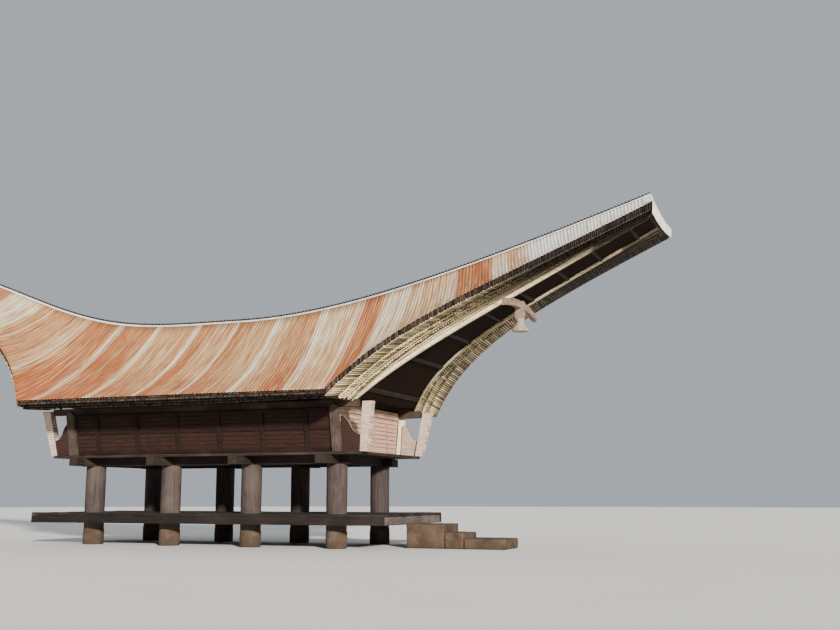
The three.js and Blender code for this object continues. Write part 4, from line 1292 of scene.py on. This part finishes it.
# %% Frames of the end walls
PLATE_RAIL = (3.025, 3.14)
END_POSTS, POST_HALF_WIDTH, BATTEN_EDGE = (-1.1, -0.37, 0.37, 1.1), 0.045, 0.003
ROW_COUNT, FIRST_ROW, ROW_PITCH, ROW_HEIGHT, ROW_REACH = 7, 2.27, 0.095, 0.014, 1.62
for end_name, end in ENDS.items():
    heap = Heap()
    face, thick, thin = (end * (WALL_HALF_LENGTH + out) for out in (STAND_OFF, 0.040, 0.012))
    x0, x1 = sorted((face, thick))
    rails = ((1.63, SILL, 0.2), (1.80, TOP_RAIL, 0.3), (1.75, PLATE_RAIL, 0.4))
    for reach, (low, high), tone in rails:
        board(heap, (x0, -reach, low), (x1, reach, high), tone, WALL_WOBBLE)
    x0, x1 = sorted((face, thin))
    low, high = POST_SPAN
    battens = [(y - POST_HALF_WIDTH, y + POST_HALF_WIDTH, low, high, 0.1) for y in END_POSTS]
    rows = [FIRST_ROW + ROW_PITCH * k for k in range(ROW_COUNT)]
    battens += [(-ROW_REACH, ROW_REACH, z, z + ROW_HEIGHT, 0.4) for z in rows]
    for y0, y1, z0, z1, tone in battens:
        board(heap, (x0, y0, z0), (x1, y1, z1), tone, 0.001, chamfer=BATTEN_EDGE)
    make_piece(f"end_wall_frame_{end_name}", heap, end_frame_wood)

# %% [markdown]
# ## Finishes on the nodes that keep their shape
# Beams, plates, ties and carved knobs are right as they are, so only their finish is set.

# %% Dress the remaining nodes
DRESS = {
    "cross_beam": shaded_beam_wood_y, "long_beam": shaded_beam_wood_x, "floor": shaded_beam_wood_x,
    "wall": shaded_carved_side, "wall_front": sunlit_carved_end, "wall_rear": sunlit_carved_end,
    "wing": carved_wing, "corner_board": shaded_corner_wood, "corner_board_front_left": sunlit_corner_wood,
    "wall_plate": shaded_plate_wood, "tie_beam": dark_wood_y, "eave_purlin": dark_wood_x,
    "ridge_beam": dark_wood_x, "gable_wall": woven_mat, "prow_beam": pale_wood_y,
    "prow_pendant": pendant_wood,
}
for node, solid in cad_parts.items():
    fits = [key for key in DRESS if node.startswith(key)]
    if fits:
        solid.data.materials.clear()
        solid.data.materials.append(DRESS[max(fits, key=len)])
print("finishes set on the nodes whose names start with", ", ".join(DRESS))

# %% [markdown]
# ## Floor, light and camera
# The floor is plain and pale. One broad sun stands low, right and in front, as on the day of the
# photograph: its lit columns and the shadow line on the side wall give the direction. A pale sky
# and a weak, soft sun from behind fill the shade. The camera was solved from the photograph.

# %% Floor
FLOOR_RADIUS, FLOOR_SIDES, FLOOR_LEVEL = 90, 64, -0.002
finish = Finish("studio_floor")
finish.colour = finish.mix(finish.noise(0.4, 3.0), "dcdad5", "e6e4e0")
turns = [math.tau * k / FLOOR_SIDES for k in range(FLOOR_SIDES)]
ring = [(FLOOR_RADIUS * math.cos(t), FLOOR_RADIUS * math.sin(t), FLOOR_LEVEL) for t in turns]
mesh = bpy.data.meshes.new("studio_floor")
mesh.from_pydata(ring, [], [list(range(FLOOR_SIDES))])
mesh.materials.append(finish.done(0.9))
ground = put("studio_floor", mesh)
print("floor is", 2 * FLOOR_RADIUS, "m across")

# %% Light
world = bpy.data.worlds.new("pale_sky")
bpy.context.scene.world = world
world.use_nodes = True
sky = world.node_tree.nodes["Background"].inputs
sky["Color"].default_value = (0.86, 0.92, 1.0, 1.0)
sky["Strength"].default_value = 0.52
SUN_FROM, FILL_FROM = Vector((0.62, -0.78, 0.285)), Vector((-0.5, 0.7, 0.6))


def sun(name, stands, energy, spread, colour=(1, 1, 1)):
    data = bpy.data.lights.new(name, "SUN")
    data.energy, data.angle, data.color = energy, math.radians(spread), colour
    put(name, data).rotation_euler = stands.to_track_quat("Z", "Y").to_euler()


sun("broad_sun", SUN_FROM, 8.6, 4, (1.0, 0.95, 0.87))
sun("soft_fill", FILL_FROM, 0.35, 60)
print("sun stands", round(math.degrees(math.asin(SUN_FROM.normalized().z))), "degrees up")

# %% Camera
SENSOR, FOCAL_PIXELS, PHOTO_WIDTH = 36.0, 1075, 840
camera_data = bpy.data.cameras.new("camera")
camera_data.sensor_width, camera_data.lens = SENSOR, SENSOR * FOCAL_PIXELS / PHOTO_WIDTH
camera_data.clip_end = 500
camera = put("camera", camera_data)
camera.location = (13.52, -22.888, 1.138)
camera.rotation_euler = (math.radians(99.54), 0, math.radians(21.06))
bpy.context.scene.camera = camera
print("lens", round(camera_data.lens, 2), "mm")
